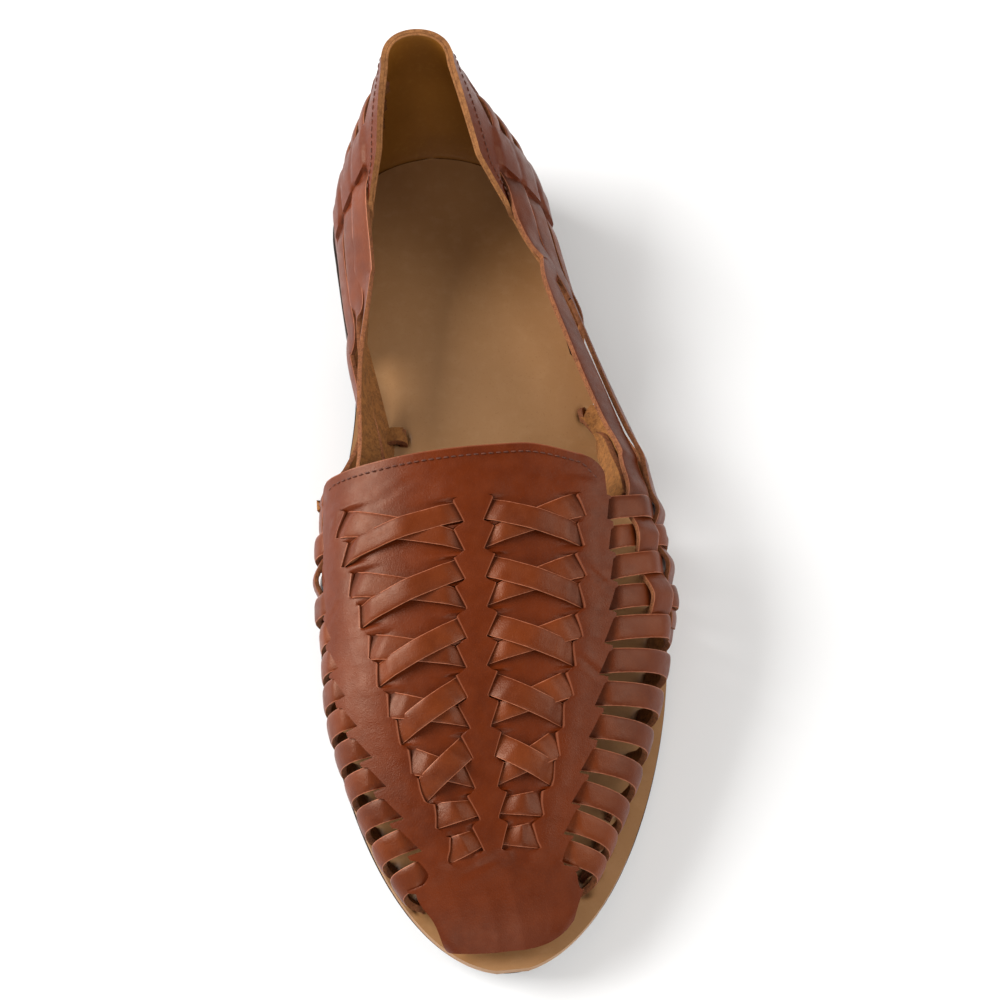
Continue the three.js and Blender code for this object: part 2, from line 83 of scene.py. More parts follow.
def track(table, column):
    """A smooth curve through one column of a table that never swings past its rows."""
    at = np.array([row[0] for row in table], float)
    value = np.array([row[column] for row in table], float)
    rise = np.diff(value) / np.diff(at)
    product = rise[:-1] * rise[1:]
    total = np.where(product > 0, rise[:-1] + rise[1:], 1)
    slope = np.concatenate([rise[:1], np.where(product > 0, 2 * product / total, 0), rise[-1:]])

    def curve(y):
        y = np.clip(np.asarray(y, float), at[0], at[-1])
        i = np.clip(np.searchsorted(at, y) - 1, 0, len(at) - 2)
        span = at[i + 1] - at[i]
        t = (y - at[i]) / span
        start = value[i] * (1 + 2 * t) + slope[i] * span * t
        end = value[i + 1] * (3 - 2 * t) - slope[i + 1] * span * (1 - t)
        return start * (1 - t) ** 2 + end * t * t

    return curve


body_half, body_middle = track(OUTLINE, 1), track(OUTLINE, 2)
rise_at = track(RISE, 1)


def sole_half(y):
    toe = np.clip((BALL_Y - y) / (BALL_Y - TOE_Y), 0, 1)
    heel = np.clip((y - HEEL_Y) / (BACK_Y - HEEL_Y), 0, 1)
    front, back = BALL_HALF * np.sqrt(1 - toe**1.7), HEEL_HALF * np.sqrt(1 - heel**2.2)
    return np.where(y < BALL_Y, front, np.where(y > HEEL_Y, back, body_half(y)))


def sole_middle(y):
    return body_middle(y) - 7 * np.clip((BALL_Y - y) / (BALL_Y - TOE_Y), 0, 1) ** 1.22


def insole_top(y):
    return rise_at(y) + OUTSOLE_THICK + GAP + INSOLE_THICK


print("sole", BACK_Y - TOE_Y, "mm long,", 2 * BALL_HALF, "mm wide")

# %% [markdown]
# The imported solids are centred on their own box, and the tables are not, so one shift takes a point of the
# tables to the frame. It is measured from the outsole's box.
# %% From the tables to the frame
lo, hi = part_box("outsole")
stations = np.linspace(TOE_Y, BACK_Y, 4001)
SHIFT = np.array([hi.x / MM - np.max(sole_middle(stations) + sole_half(stations)), lo.y / MM - TOE_Y, 0])
print("shift in mm:", SHIFT.round(2))

# %% [markdown]
# ## The skin of the forepart
# A section across the foot is tucked in at the insole, widest a little above it, and domed over the top.
# Places on it are given by y along the foot and the girth s from the crown, positive to the outer side.
# Cutting in these two lengths is cutting flat leather, and the skin then wraps it. The rows are y, the
# crown's height, how much wider than the sole, how far to the side, and the girth at which the ridge runs.
# %% Sections of the last
LAST = [(-132, 14.5, -1.6, -2.2, 1.8), (-122, 22, -2.2, -2.6, 0.8), (-112, 26.5, -2.6, -3, -1.6),
        (-100, 30.5, -2.4, -3.3, -2.9), (-80, 35.5, -1.5, -2.8, -5), (-60, 40.5, -0.2, -2, -7.1),
        (-35, 46, 0.4, 0, -8.2), (-10, 51, 1.7, 0, -7), (12, 54.5, 5.2, -0.9, -6.6)]
crown, wider, sideways, ridge = (track(LAST, column) for column in range(1, 5))
STEP = 0.5
SKIN_Y = np.arange(TOE_Y, 24, STEP)
SKIN_S = np.arange(-115, 115 + STEP, STEP)


def feather_height(y):
    slope = (insole_top(y + 1) - insole_top(y - 1)) / 2
    return insole_top(y) + GAP + np.abs(slope) * 3.4 + 0.2


def section(y):
    """Points across the foot at y, evenly spaced by girth, and half the girth."""
    floor = feather_height(y)
    bulge = min(11, 0.42 * (crown(y) - floor))
    half = sole_half(y) + wider(y)
    turn = np.linspace(0, np.pi / 2, 24, endpoint=False)
    tuck_x = -half + 4 * (1 - np.sin(turn))
    tuck_z = floor + bulge * (1 - np.cos(turn))
    arch = np.linspace(0, np.pi, 241)
    dome_x = -half * np.sign(np.cos(arch)) * np.abs(np.cos(arch)) ** (2 / 2.35)
    dome_z = floor + bulge + (crown(y) - floor - bulge) * np.sin(arch) ** (2 / 2.35)
    x = np.concatenate([tuck_x, dome_x, -tuck_x[::-1]])
    z = np.concatenate([tuck_z, dome_z, tuck_z[::-1]])
    girth = np.concatenate([[0], np.cumsum(np.hypot(np.diff(x), np.diff(z)))])
    reach = girth[-1] / 2
    x = np.interp(SKIN_S + reach, girth, x) + sole_middle(y) + sideways(y)
    return x, np.interp(SKIN_S + reach, girth, z), reach


SKIN_X, SKIN_Z, REACH = (np.array(part) for part in zip(*(section(y) for y in SKIN_Y)))


def reach_at(y):
    """Girth from the crown down to the insole."""
    return np.interp(y, SKIN_Y, REACH)


def skin(y, s):
    """The place on the last's skin at y and girth s."""
    y, s = np.broadcast_arrays(np.asarray(y, float), np.asarray(s, float))
    row = np.clip((y - SKIN_Y[0]) / STEP, 0, len(SKIN_Y) - 1.001)
    col = np.clip((s - SKIN_S[0]) / STEP, 0, len(SKIN_S) - 1.001)
    i, j = row.astype(int), col.astype(int)
    a, b = row - i, col - j

    def blend(grid):
        return lerp(lerp(grid[i, j], grid[i, j + 1], b), lerp(grid[i + 1, j], grid[i + 1, j + 1], b), a)

    return np.stack([blend(SKIN_X), y, blend(SKIN_Z)], -1)


def unit(v):
    return v / np.maximum(np.linalg.norm(v, axis=-1, keepdims=True), 1e-9)


def lifted(place, way, lift):
    return place + way * np.expand_dims(np.broadcast_to(lift, place.shape[:-1]), -1)


def skin_normal(y, s):
    near = np.clip(s, -reach_at(y) + 1.5, reach_at(y) - 1.5)
    across = skin(y, near + 1.5) - skin(y, near - 1.5)
    along = skin(y + 1.5, near) - skin(y - 1.5, near)
    return unit(np.cross(across, along))


def vamp(y, s, lift=0):
    """A place lifted off the skin."""
    return lifted(skin(y, s), skin_normal(y, s), lift)


print("girth over the ball:", round(float(2 * reach_at(BALL_Y)), 1), "mm")

# %% [markdown]
# ## The skin of the heel counter
# The counter stands on a horseshoe round the heel and closes in to the collar above. Its places are t, round
# the heel from the inner to the outer front, and v, from the sole to the collar. The collar's rows are y,
# half its width, its middle and its height.
# %% Foot line, collar line and the wall between them
COLLAR = [(79, 22, 0.8, 45.5), (86, 18.6, -1.9, 49), (94, 16.6, -3.3, 54), (104, 14.8, -4.2, 60),
          (115, 12.6, -5, 67), (123, 10.8, -5.3, 71)]
COLLAR_BACK_Y, COLLAR_BACK_Z = 133.0, 74.0
SWELL_INNER, SWELL_BACK, SWELL_OUTER = 2.2, 2.2, 5.0


def squeeze(y, inset):
    """Takes the sole's heel end to the same end set in all round."""
    back = BACK_Y - inset
    return np.where(y > HEEL_Y, HEEL_Y + (y - HEEL_Y) * (BACK_Y - HEEL_Y) / (back - HEEL_Y), y)


def foot_line(y, side):
    reach = sole_half(squeeze(y, COUNTER_INSET)) * (1 - COUNTER_INSET / sole_half(np.minimum(y, HEEL_Y)))
    return np.stack([sole_middle(y) + side * reach, y, rise_at(y) + OUTSOLE_THICK + GAP], -1)


def collar_line(y, side):
    last_y, half, _, height = COLLAR[-1]
    t = np.clip((y - last_y) / (COLLAR_BACK_Y - last_y), 0, 1)
    reach = np.where(t > 0, half * np.sqrt(1 - t**2.2), track(COLLAR, 1)(y))
    z = track(COLLAR, 3)(y) + (COLLAR_BACK_Z - height) * t * (2 - t)
    return np.stack([track(COLLAR, 2)(y) + side * reach, y, z], -1)


def run_along(points):
    """Length along a line, at each of its points."""
    return np.concatenate([[0], np.cumsum(np.linalg.norm(np.diff(points, axis=0), axis=1))])


def place_on(points, along, at):
    return np.stack([np.interp(at, along, points[:, k]) for k in range(3)], -1)


def loop(line, start, back):
    """A line round the heel from the inner front to the outer one, by the share t of its length."""
    y = lerp(start, back, np.sin(np.linspace(0, np.pi / 2, 400)))
    points = np.concatenate([line(y, -1), line(y[::-1], 1)[1:]])
    along = run_along(points) / run_along(points)[-1]
    return lambda t: place_on(points, along, t)


foot_loop = loop(foot_line, COUNTER_FRONT_Y, BACK_Y - COUNTER_INSET)
collar_loop = loop(collar_line, COLLAR[0][0], COLLAR_BACK_Y)


def wall(t, v):
    t, v = np.broadcast_arrays(np.asarray(t, float), np.asarray(v, float))
    low, high = foot_loop(np.clip(t, 0, 1)), collar_loop(np.clip(t, 0, 1))
    ahead = unit(foot_loop(np.clip(t + 0.01, 0, 1)) - foot_loop(np.clip(t - 0.01, 0, 1)))
    out = unit(np.stack([-ahead[..., 1], ahead[..., 0], np.zeros_like(t)], -1))
    inner_side = lerp(SWELL_INNER, SWELL_BACK, 2 * t)
    outer_side = lerp(SWELL_BACK, SWELL_OUTER, smooth(t, 0.5, 0.85))
    swell = np.where(t < 0.5, inner_side, outer_side) * np.sin(np.pi * np.clip(v, 0, 1) ** 0.7)
    lean = np.clip(v, 0, 2) ** 1.3
    point = np.stack([lerp(low[..., 0], high[..., 0], lean), lerp(low[..., 1], high[..., 1], lean),
                      lerp(low[..., 2], high[..., 2], v)], -1)
    return point + out * swell[..., None]


def wall_normal(t, v):
    a, b = np.clip(t, 0.012, 0.988), np.clip(v, 0.03, 0.97)
    return unit(np.cross(wall(a, b + 0.02) - wall(a, b - 0.02), wall(a + 0.01, b) - wall(a - 0.01, b)))


def counter(t, v, lift=0):
    """A place lifted off the wall."""
    return lifted(wall(t, v), wall_normal(t, v), lift)


print("collar from", collar_loop(np.array([0.0])).round(1), "to", COLLAR_BACK_Z, "mm high")

# %% [markdown]
# ## From a flat sheet to a piece
# A piece of leather is a sheet with two faces and a cut edge, each with a look of its own. A grid is added
# and its points are taken to their places by a formula, which follows the last more truly than pulling them
# by hand. Solidify then gives the thickness, with one material slot for the grain side, one for the flesh
# side and one for the cut edge, and a small bevel takes the sharpness off the edge.
# %% From a grid to a sheet
FLESH, EDGE = 1, 2  # material slots, after the grain side at 0
faces_made = {}


def only(piece):
    bpy.ops.object.select_all(action="DESELECT")
    piece.select_set(True)
    bpy.context.view_layer.objects.active = piece


def modify(piece, kind, **settings):
    only(piece)
    bpy.ops.object.modifier_add(type=kind)
    modifier = piece.modifiers[-1]
    for key, value in settings.items():
        setattr(modifier, key, value)
    bpy.ops.object.modifier_apply(modifier=modifier.name)


def mark(piece, name, values):
    """A number on every point of a piece, for its material to read."""
    layer = piece.data.attributes.new(name, "FLOAT", "POINT")
    layer.data.foreach_set("value", np.asarray(values, np.float32).ravel())


def read_points(piece):
    points = np.empty(len(piece.data.vertices) * 3)
    piece.data.vertices.foreach_get("co", points)
    return points.reshape(-1, 3)


def write_points(piece, points):
    piece.data.vertices.foreach_set("co", points.ravel())
    piece.data.update()


def sheet(name, along, across, place, marks=None):
    """A flat grid of unit size, with every point moved by place(u, v), which works in millimetres."""
    bpy.ops.object.select_all(action="DESELECT")
    bpy.ops.mesh.primitive_grid_add(x_subdivisions=along, y_subdivisions=across, size=1)
    piece = bpy.context.object
    piece.name = piece.data.name = name
    u, v = (read_points(piece)[:, :2] + 0.5).clip(0, 1).T
    write_points(piece, (place(u, v) + SHIFT) * MM)
    for key, values in (marks or {}).items():
        mark(piece, key, np.broadcast_to(values(u, v), u.shape))
    return piece


def join(name, pieces):
    only(pieces[0])
    for piece in pieces:
        piece.select_set(True)
    bpy.ops.object.join()
    piece = bpy.context.object
    piece.name = piece.data.name = name
    return piece

# %% Thickness, cut edges and the finished piece
def thicken(piece, thickness, bevel=0.3, flip=False, segments=2):
    """Grain side outward, then thickness to the flesh side, then the cut edges rounded."""
    only(piece)
    bpy.ops.object.mode_set(mode="EDIT")
    bpy.ops.mesh.select_all(action="SELECT")
    bpy.ops.mesh.remove_doubles(threshold=0.00001)
    if flip:
        bpy.ops.mesh.flip_normals()
    bpy.ops.object.mode_set(mode="OBJECT")
    for _ in range(3 - len(piece.data.materials)):
        piece.data.materials.append(None)
    modify(piece, "SOLIDIFY", thickness=thickness * MM, offset=-1, material_offset=FLESH,
           material_offset_rim=EDGE)
    if bevel:
        bpy.ops.object.mode_set(mode="EDIT")
        bpy.ops.mesh.select_mode(type="EDGE")
        bpy.ops.mesh.select_all(action="DESELECT")
        bpy.ops.mesh.edges_select_sharp(sharpness=math.radians(62))
        bpy.ops.mesh.bevel(offset=bevel * MM, segments=segments, affect="EDGES", clamp_overlap=True)
        bpy.ops.object.mode_set(mode="OBJECT")
    only(piece)
    bpy.ops.object.shade_smooth_by_angle(angle=math.radians(50))


def keep(piece, node, slot, *materials):
    """Puts the finish on a finished piece, hangs it on the body and hides the solid it stands for."""
    for index, material in enumerate(materials):
        if index < len(piece.data.materials):
            piece.data.materials[index] = material
        else:
            piece.data.materials.append(material)
    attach(piece, "root")
    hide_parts(node)
    faces_made[piece.name] = len(piece.data.polygons)
    print(piece.name, "faces", faces_made[piece.name])

# %% [markdown]
# ## From a line to a strap
# A strap is a narrow strip along a smooth line, and at each place on the line it faces away from the foot.
# A bevelled curve would do, but its sides would be round: a strip with thickness keeps a flat face and cut
# edges. All straps of a group are joined into one piece, so that each group is told apart by name.
# %% Lines, strips and groups of straps
def glide(points, count):
    """A smooth line through a few points, with count + 1 places on it."""
    points = np.asarray(points, float)
    padded = np.concatenate([2 * points[:1] - points[1:2], points, 2 * points[-1:] - points[-2:-1]])
    at = np.linspace(0, len(points) - 1.000001, count + 1)
    i = at.astype(int)
    t = (at - i)[:, None]
    a, b, c, d = padded[i], padded[i + 1], padded[i + 2], padded[i + 3]
    return 0.5 * (2 * b + (c - a) * t + (2 * a - 5 * b + 4 * c - d) * t**2 + (3 * b - a - 3 * c + d) * t**3)


def strip_frame(places, steps):
    """The middle line of a strip, the way it faces and the way it runs, from (point, way) places."""
    line = glide([point for point, _ in places], steps)
    return line, unit(glide([way for _, way in places], steps)), unit(np.gradient(line, axis=0))


def strip(places, steps, width, side, crown, droop):
    """A strap laid along its places, its middle raised by crown and its edges drooped."""
    line, facing, ahead = strip_frame(places, steps)

    def place(u, v):
        i = np.clip(np.round(u * steps).astype(int), 0, steps)
        across = unit(np.cross(facing[i], ahead[i])) * side
        puff = crown - droop * np.abs(2 * v - 1) ** 3
        return line[i] + across * ((v - 0.5) * width)[:, None] + facing[i] * puff[:, None]

    return place


def tinted(tint, painted_shade):
    """Marks of a strap: how much darker or paler its hide is, and where painted shade darkens it."""
    return {"tint": lambda u, v: tint + 0 * u, "painted_shade": painted_shade}


def draw_tint(seed, spread=1.0):
    return float(np.random.default_rng(seed).uniform(-spread, spread))


def near_ends(low, high):
    """Painted shade near both ends of a strap, where it goes under."""
    return lambda u, v: 1 - smooth(np.minimum(u, 1 - u), low, high)


STRAP_CELLS = 8


def lace(name, straps, thickness, bevel, flip):
    """Straps given as (steps along, place, marks), made one by one, joined and thickened."""
    group = join(name, [sheet("strap", steps, STRAP_CELLS, place, marks) for steps, place, marks in straps])
    thicken(group, thickness, bevel=bevel, flip=flip)
    return group


print("cells across a strap:", STRAP_CELLS)

# %% [markdown]
# ## The vamp plate
# On the real sandal the plate is one die-cut sheet with two columns of slits and a ridge between. Where a
# strap goes under, the slit's rim stands up as a lip. Knife cuts in a plain grid would run across its faces,
# so the grid is laid in bands between lines that follow the slits: it has an edge exactly where the knife
# went, and each line has a height of its own. The rows of both tables are y and the girths from the ridge to
# the inner and the outer side.
# %% Where the slits are
ROWS, FIRST_ROW_Y, ROW_PITCH = 12, -13.0, 7.9
THROAT_Y, TOE_END_Y = 5.2, -128.0
PLATE = [(-128, 18, 18), (-119, 20, 22), (-111, 22, 22), (-107, 18, 19), (-99, 21.2, 21.2), (-82, 28.5, 28),
         (-65, 35.3, 33.7), (-48, 41.5, 37), (-30, 46.5, 38.8), (-8, 48, 38.6), (5, 49, 38.5)]
OUTER_SLITS = [(-102, 11, 11.2), (-93, 13.7, 13.9), (-86, 17.2, 17.9), (-78, 19.3, 20), (-70, 21.8, 22.5),
               (-62.5, 24, 25.1), (-54, 27, 26.5), (-46, 29.5, 28.3), (-37.5, 32.3, 29), (-29, 34.9, 29.4),
               (-20, 36.9, 29.6), (-11, 39, 30.5)]
OUTER_ROW_Y = {-1: [-9.5, -18.5, -27.5, -37, -46, -54, -62.5, -70, -78, -86, -93, -102],
               1: [-13, -21.5, -30, -38.5, -46.5, -54, -62, -70, -77.5, -85, -92.5, -100.5]}
OUTER_SLANT = {-1: [4, 4, 2.5, 2, 2, 2, 2, 1.5, 1.5, 1, 2.8, 2.8],
               1: [3, 2, 3, 2, 3, 2, 3, 1.5, 2, 1, 2.8, 2.8]}
INNER_ROW_Y = [FIRST_ROW_Y - ROW_PITCH * row for row in range(ROWS)]
SPINE_HALF, INNER_SLANT = 4.4, [-3.0] * 10 + [-4.0] * 2
SLIT_HALF = 3.1
medial_edge, lateral_edge = track(PLATE, 1), track(PLATE, 2)
medial_slits, lateral_slits = track(OUTER_SLITS, 1), track(OUTER_SLITS, 2)


def edge_at(y, side):
    return medial_edge(y) if side < 0 else lateral_edge(y)


def slits_at(y, side):
    return medial_slits(y) if side < 0 else lateral_slits(y)


def teeth(y, centres, slants, half=SLIT_HALF, soft=0.75):
    """How far each slit leans from its line at y, and how open it is there."""
    lean, open_ = np.zeros_like(y), np.zeros_like(y)
    for centre, slant in zip(centres, slants):
        away = np.clip((centre - y) / half, -1.15, 1.15)
        near = 1 - smooth(np.abs(y - centre), half, half + soft)
        lean += away * slant / 2 * near
        open_ = np.maximum(open_, near)
    return lean, open_


print("slits a column:", ROWS, "girth at the throat:", float(medial_edge(5) + lateral_edge(5)), "mm")

# %% Where the side straps leave the plate's edge
SIDE_FIRST_Y, SIDE_PITCH = {-1: -10.5, 1: -13.5}, {-1: 8.7, 1: 8.5}
LAST_STRAPS_BACK = 2.2
STRAP_WIDTH, PLATE_THICK, STRAP_THICK = 6.8, 2.0, 1.8


def side_root_y(row, side):
    """The last few outer straps stand a little further back than their pitch."""
    back = LAST_STRAPS_BACK * float(smooth(row, 8.5, 11)) if side > 0 else 0
    return SIDE_FIRST_Y[side] - SIDE_PITCH[side] * row + back


def scallop(y, side):
    """The plate's cut edge: it slants inward over each side strap and stands out as a tab between straps."""
    out = np.zeros_like(y)
    for row in range(ROWS):
        centre = side_root_y(row, side) - 0.5
        depth = (1.2 + 1.2 * smooth(row, 0, 6)) if side > 0 else (1.0 + 1.8 * smooth(row, 0.5, 5))
        inside = np.abs(y - centre) < STRAP_WIDTH / 2 - 0.1
        out = np.where(inside, depth * np.clip((y - centre) / STRAP_WIDTH, -0.5, 0.5), out)
        tab = (~inside) & (np.abs(y - centre) < SIDE_PITCH[side] / 2 + 0.3)
        out = np.where(tab, depth * 0.45 + (1.8 * float(smooth(row, 2, 5)) if side < 0 else 0.8), out)
    return out


print("strap roots:", [round(side_root_y(row, 1), 1) for row in (0, ROWS - 1)])

# %% The lines of the sheet
HALF_BANDS = [("edge", 9), ("lip", 1), ("floor", 13), ("lip", 1), ("spine", 6)]
BANDS = HALF_BANDS + HALF_BANDS[::-1]
LIP_GAP = 0.3
PLATE_COLUMNS, PLATE_ROWS = sum(count for _, count in BANDS), 224


def slit_zone(y):
    """1 where the plate has slits, and 0 towards the toe end and the throat."""
    return smooth(y, -108, -103) * (1 - smooth(y, -5.5, -1.5))


def plate_lines(y, side):
    """Girths from the ridge of a side's slit lines and edge, and how open the slits are there."""
    inner_lean, inner_open = teeth(y, INNER_ROW_Y, INNER_SLANT)
    outer_lean, outer_open = teeth(y, OUTER_ROW_Y[side], OUTER_SLANT[side])
    narrow = lerp(0.55, 1, smooth(y, -108, -60))
    inner = SPINE_HALF * lerp(0.85, 1, smooth(y, -104, -80)) + inner_lean * narrow
    outer = np.maximum(slits_at(y, side) + outer_lean, inner + 2.5)
    edge = np.maximum(edge_at(y, side) + scallop(y, side), outer + 1.6)
    toe = smooth(-y, 103, 108)
    outer = lerp(outer, edge_at(y, side) * 0.6, toe)
    edge = lerp(edge, edge_at(y, side), smooth(-y, 110, 112))
    return inner, outer, edge, inner_open, outer_open


def plate_corner(y, edge, side):
    """The throat's corners are cut round."""
    radius = 3.2 if side < 0 else 6.5
    turn = np.clip((y - (THROAT_Y - radius)) / radius, 0, 1)
    return edge - radius * (1 - np.sqrt(np.maximum(0, 1 - turn**2)))


print("the flat plate:", PLATE_COLUMNS, "by", PLATE_ROWS, "faces in", len(BANDS), "bands")

# %% [markdown]
# ## Heights of the sheet
# Over the lacing the plate rests on the straps. A slit's lip stands up, and the foot of the slit beside it is
# pressed down. A few creases run out from the slits where the leather was pulled: each is a soft trough with
# a low ridge along both sides. Its row is the y and girth of its middle, half its length, slope and depth.
# %% Lips, floors and creases
FLAT_LIFT, REST_LIFT = 0.2, 0.75
INNER_LIP, INNER_FOOT, OUTER_LIP, OUTER_FOOT = 0.95, -0.5, 0.7, -0.6
CREASES = [(-4.5, -22, 10, 0.5, 0.16), (-4, 14, 12, -0.35, 0.16), (-6, -38, 7, 1.1, 0.25),
           (-7, 27, 6, -1.0, 0.25), (-33.5, -42, 6, 0.9, 0.2), (-34, 35, 5, -0.9, 0.4),
           (-58, 32, 5, -0.8, 0.4), (-107, -4, 8, 0.35, 0.2)]
CREASE_HALF, RIDGE_OFF, RIDGE_HALF, RIDGE_SHARE = 0.9, 2.0, 1.1, 0.45


def band_height(kind, side, t, h0, h1, calm):
    """Height across one band, t from its left line to its right one."""
    if kind == "floor":
        return lerp(lerp(h0, 0.1, smooth(t, 0, 0.3)), h1, smooth(t, 0.7, 1))
    if kind == "edge":
        out = 1 - t if side < 0 else t
        swell = 0.12 * np.sin(np.pi * np.clip(out * 1.6, 0, 1)) * calm
        return lerp(h1 if side < 0 else h0, 0.45, smooth(out, 0, 0.75)) + swell
    if kind == "spine":
        return lerp(h0, h1, np.sin(t * np.pi / 2) if side < 0 else 1 - np.cos(t * np.pi / 2))
    return lerp(h0, h1, t)


def crease(girth, y):
    """Soft troughs, each with a low ridge along both sides."""
    lift = np.zeros_like(girth)
    for at_y, at_s, length, slope, depth in CREASES:
        off = (y - at_y) - slope * (girth - at_s)
        ridges = RIDGE_SHARE * bell(np.abs(off) - RIDGE_OFF, RIDGE_HALF)
        lift = lift + depth * bell(1.6 * (girth - at_s), length, 4) * (ridges - bell(off, CREASE_HALF))
    return lift


def plate_place(u, v):
    """Girth from the ridge, y and lift of a place on the sheet."""
    y = lerp(TOE_END_Y, THROAT_Y, v)
    girth, lift = np.zeros_like(u), np.zeros_like(u)
    column = u * PLATE_COLUMNS
    knots = np.concatenate([[0], np.cumsum([count for _, count in BANDS])])
    calm = slit_zone(y)
    resting = lerp(FLAT_LIFT, REST_LIFT, calm)
    crest = smooth(y, -112, -98) * (1 - 0.7 * smooth(y, -12, 0))
    for k, (kind, count) in enumerate(BANDS):
        side = -1 if k < len(HALF_BANDS) else 1
        inner, outer, edge, inner_open, outer_open = plate_lines(y, side)
        edge = plate_corner(y, edge, side)
        outer = np.minimum(outer, edge - 2)
        outer_open, inner_open = outer_open * calm, inner_open * calm
        lines = [(edge, 0.5), (outer + LIP_GAP, lerp(resting, OUTER_LIP, outer_open)),
                 (outer, lerp(resting, OUTER_FOOT, outer_open)),
                 (inner, lerp(resting, INNER_FOOT, inner_open)),
                 (inner - LIP_GAP, lerp(resting, INNER_LIP, inner_open)), (np.zeros_like(u), crest)]
        (s0, h0), (s1, h1) = (lines[min(at, len(BANDS) - at)] for at in (k, k + 1))
        inside = (column >= knots[k] - 1e-6) & (column <= knots[k + 1] + 1e-6)
        t = np.clip((column - knots[k]) / count, 0, 1)
        reach = lerp(s0, s1, t)
        if kind == "edge":
            out = 1 - t if side < 0 else t
            plain = np.maximum(plate_corner(y, edge_at(y, side), side), outer + LIP_GAP + 1.3)
            reach = lerp(outer + LIP_GAP, plain, out) + (edge - plain) * smooth(out, 0.6, 1)
        girth = np.where(inside, side * reach, girth)
        lift = np.where(inside, band_height(kind, side, t, h0, h1, calm), lift)
    return girth, y, lift + crease(girth, y)


print("creases:", len(CREASES), "lips stand", INNER_LIP, "and", OUTER_LIP, "mm up")

# %% The plate
def throat_bow(girth):
    """The throat line dips a little towards its corners."""
    return 1.0 * smooth(-girth, 24, 48) - 4.2 * smooth(girth, 14, 38)


def toe_bow(girth):
    """The toe end of the plate is nearly square at its inner corner and cut round at its outer one."""
    inner, outer = 2.2 * np.clip(-girth / 18, 0, 1.1) ** 3, 6.5 * np.clip(girth / 18, 0, 1.2) ** 3
    return np.where(girth < 0, inner, outer)


def plate_point(u, v):
    girth, y, lift = plate_place(u, v)
    bow = throat_bow(girth) * smooth(y, -14, THROAT_Y) + toe_bow(girth) * smooth(-y, 112, 128)
    return vamp(y + bow, ridge(y) + girth, lift)


def along_slits(girth, y, gap):
    """For each slit line, set off by gap towards its lip, how near a place is to it and how open it is."""
    for side, _ in SIDES:
        inner, outer, _, inner_open, outer_open = plate_lines(y, side)
        for line, open_ in ((inner - gap, inner_open), (outer + gap, outer_open)):
            yield bell(side * girth - line, 0.3), open_


def plate_painted_shade(u, v):
    """Painted shade in the slits, where the straps go under."""
    girth, y, _ = plate_place(u, v)
    slits = [near * (0.15 + 0.75 * open_) for near, open_ in along_slits(girth, y, 0)]
    return np.max(slits, axis=0) * slit_zone(y)


def plate_lip_highlight_and_raw_edge(u, v):
    """A pale line: painted highlight along the slit lips, and the raw leather's own colour along the throat's
    cut edge.
    """
    girth, y, _ = plate_place(u, v)
    lips = np.max([near * open_ for near, open_ in along_slits(girth, y, LIP_GAP)], axis=0) * slit_zone(y)
    return np.maximum(lips, bell(y - THROAT_Y, 0.6))


plate_marks = {"painted_shade": plate_painted_shade, "raw": plate_lip_highlight_and_raw_edge}
plate = sheet("vamp_plate", PLATE_COLUMNS, PLATE_ROWS, plate_point, plate_marks)
thicken(plate, PLATE_THICK, bevel=0)
print("plate faces:", len(plate.data.polygons))

# %% [markdown]
# ## The cross straps
# Each column is laced with straps that come up through an inner slit and go down through an outer one. Two
# neighbours cross, and the one from the slit nearer the throat lies on top; the last two by the toe lie
# straight. A strap bent from a flat box would need a lattice, so it is a flat strip whose two ends dip into
# their slits and whose middle rises over its neighbour.
# %% Straps that cross in pairs
def cross_route(outer, inner, side, over):
    """A strap from a row's outer slit to a row's inner slit, as places on the skin."""
    y0, y1 = OUTER_ROW_Y[side][outer], INNER_ROW_Y[inner]
    s0, s1 = float(slits_at(y0, side)), SPINE_HALF * 0.95
    length = math.hypot(y1 - y0, s0 - s1)
    dy, ds = (y1 - y0) / length, (s1 - s0) / length
    tail = 2.4 / length
    single = outer == inner
    rise_over = 1.5 if over else 0.0

    def place(u, v):
        t = lerp(-tail, 1 + tail, u)
        narrow = lerp(1.02, 0.8, t) * lerp(1, 0.8, t) if single else lerp(0.98, 0.8, t) * 0.97
        across = (v - 0.5) * STRAP_WIDTH * narrow
        slant = lerp(OUTER_SLANT[side][outer], INNER_SLANT[inner], t) / 6.2
        y = lerp(y0, y1, t) - across * ds
        s = lerp(s0, s1, t) + across * dy - slant * across * np.abs(ds) * 0.9
        from_end = np.minimum(t, 1 - t) * length
        lift = lerp(0.15, 1.6, smooth(from_end, 0, 4.5)) - 1 + smooth(from_end, -tail * length, 0.4)
        lift = lift + rise_over * bell((t - 0.52) * length, 6) * smooth(from_end, 0, 4)
        return vamp(y, ridge(y) + side * s, lift - 0.3 * np.abs(2 * v - 1) ** 4 + 0.1)

    return place


def cross_strap(outer, inner, side, over, steps):
    marks = tinted(draw_tint(outer * 7 + side + 1), near_ends(0.07, 0.14))
    return steps, cross_route(outer, inner, side, over), marks


for side, word in SIDES:
    straps = []
    for row in range(0, ROWS - 2, 2):
        straps.append(cross_strap(row, row + 1, side, False, 30))
        straps.append(cross_strap(row + 1, row, side, True, 30))
    for row in (ROWS - 2, ROWS - 1):
        straps.append(cross_strap(row, row, side, False, 20))
    group = lace("cross_straps_" + word, straps, STRAP_THICK, 0.28, side > 0)
    print(group.name, len(straps), "straps")

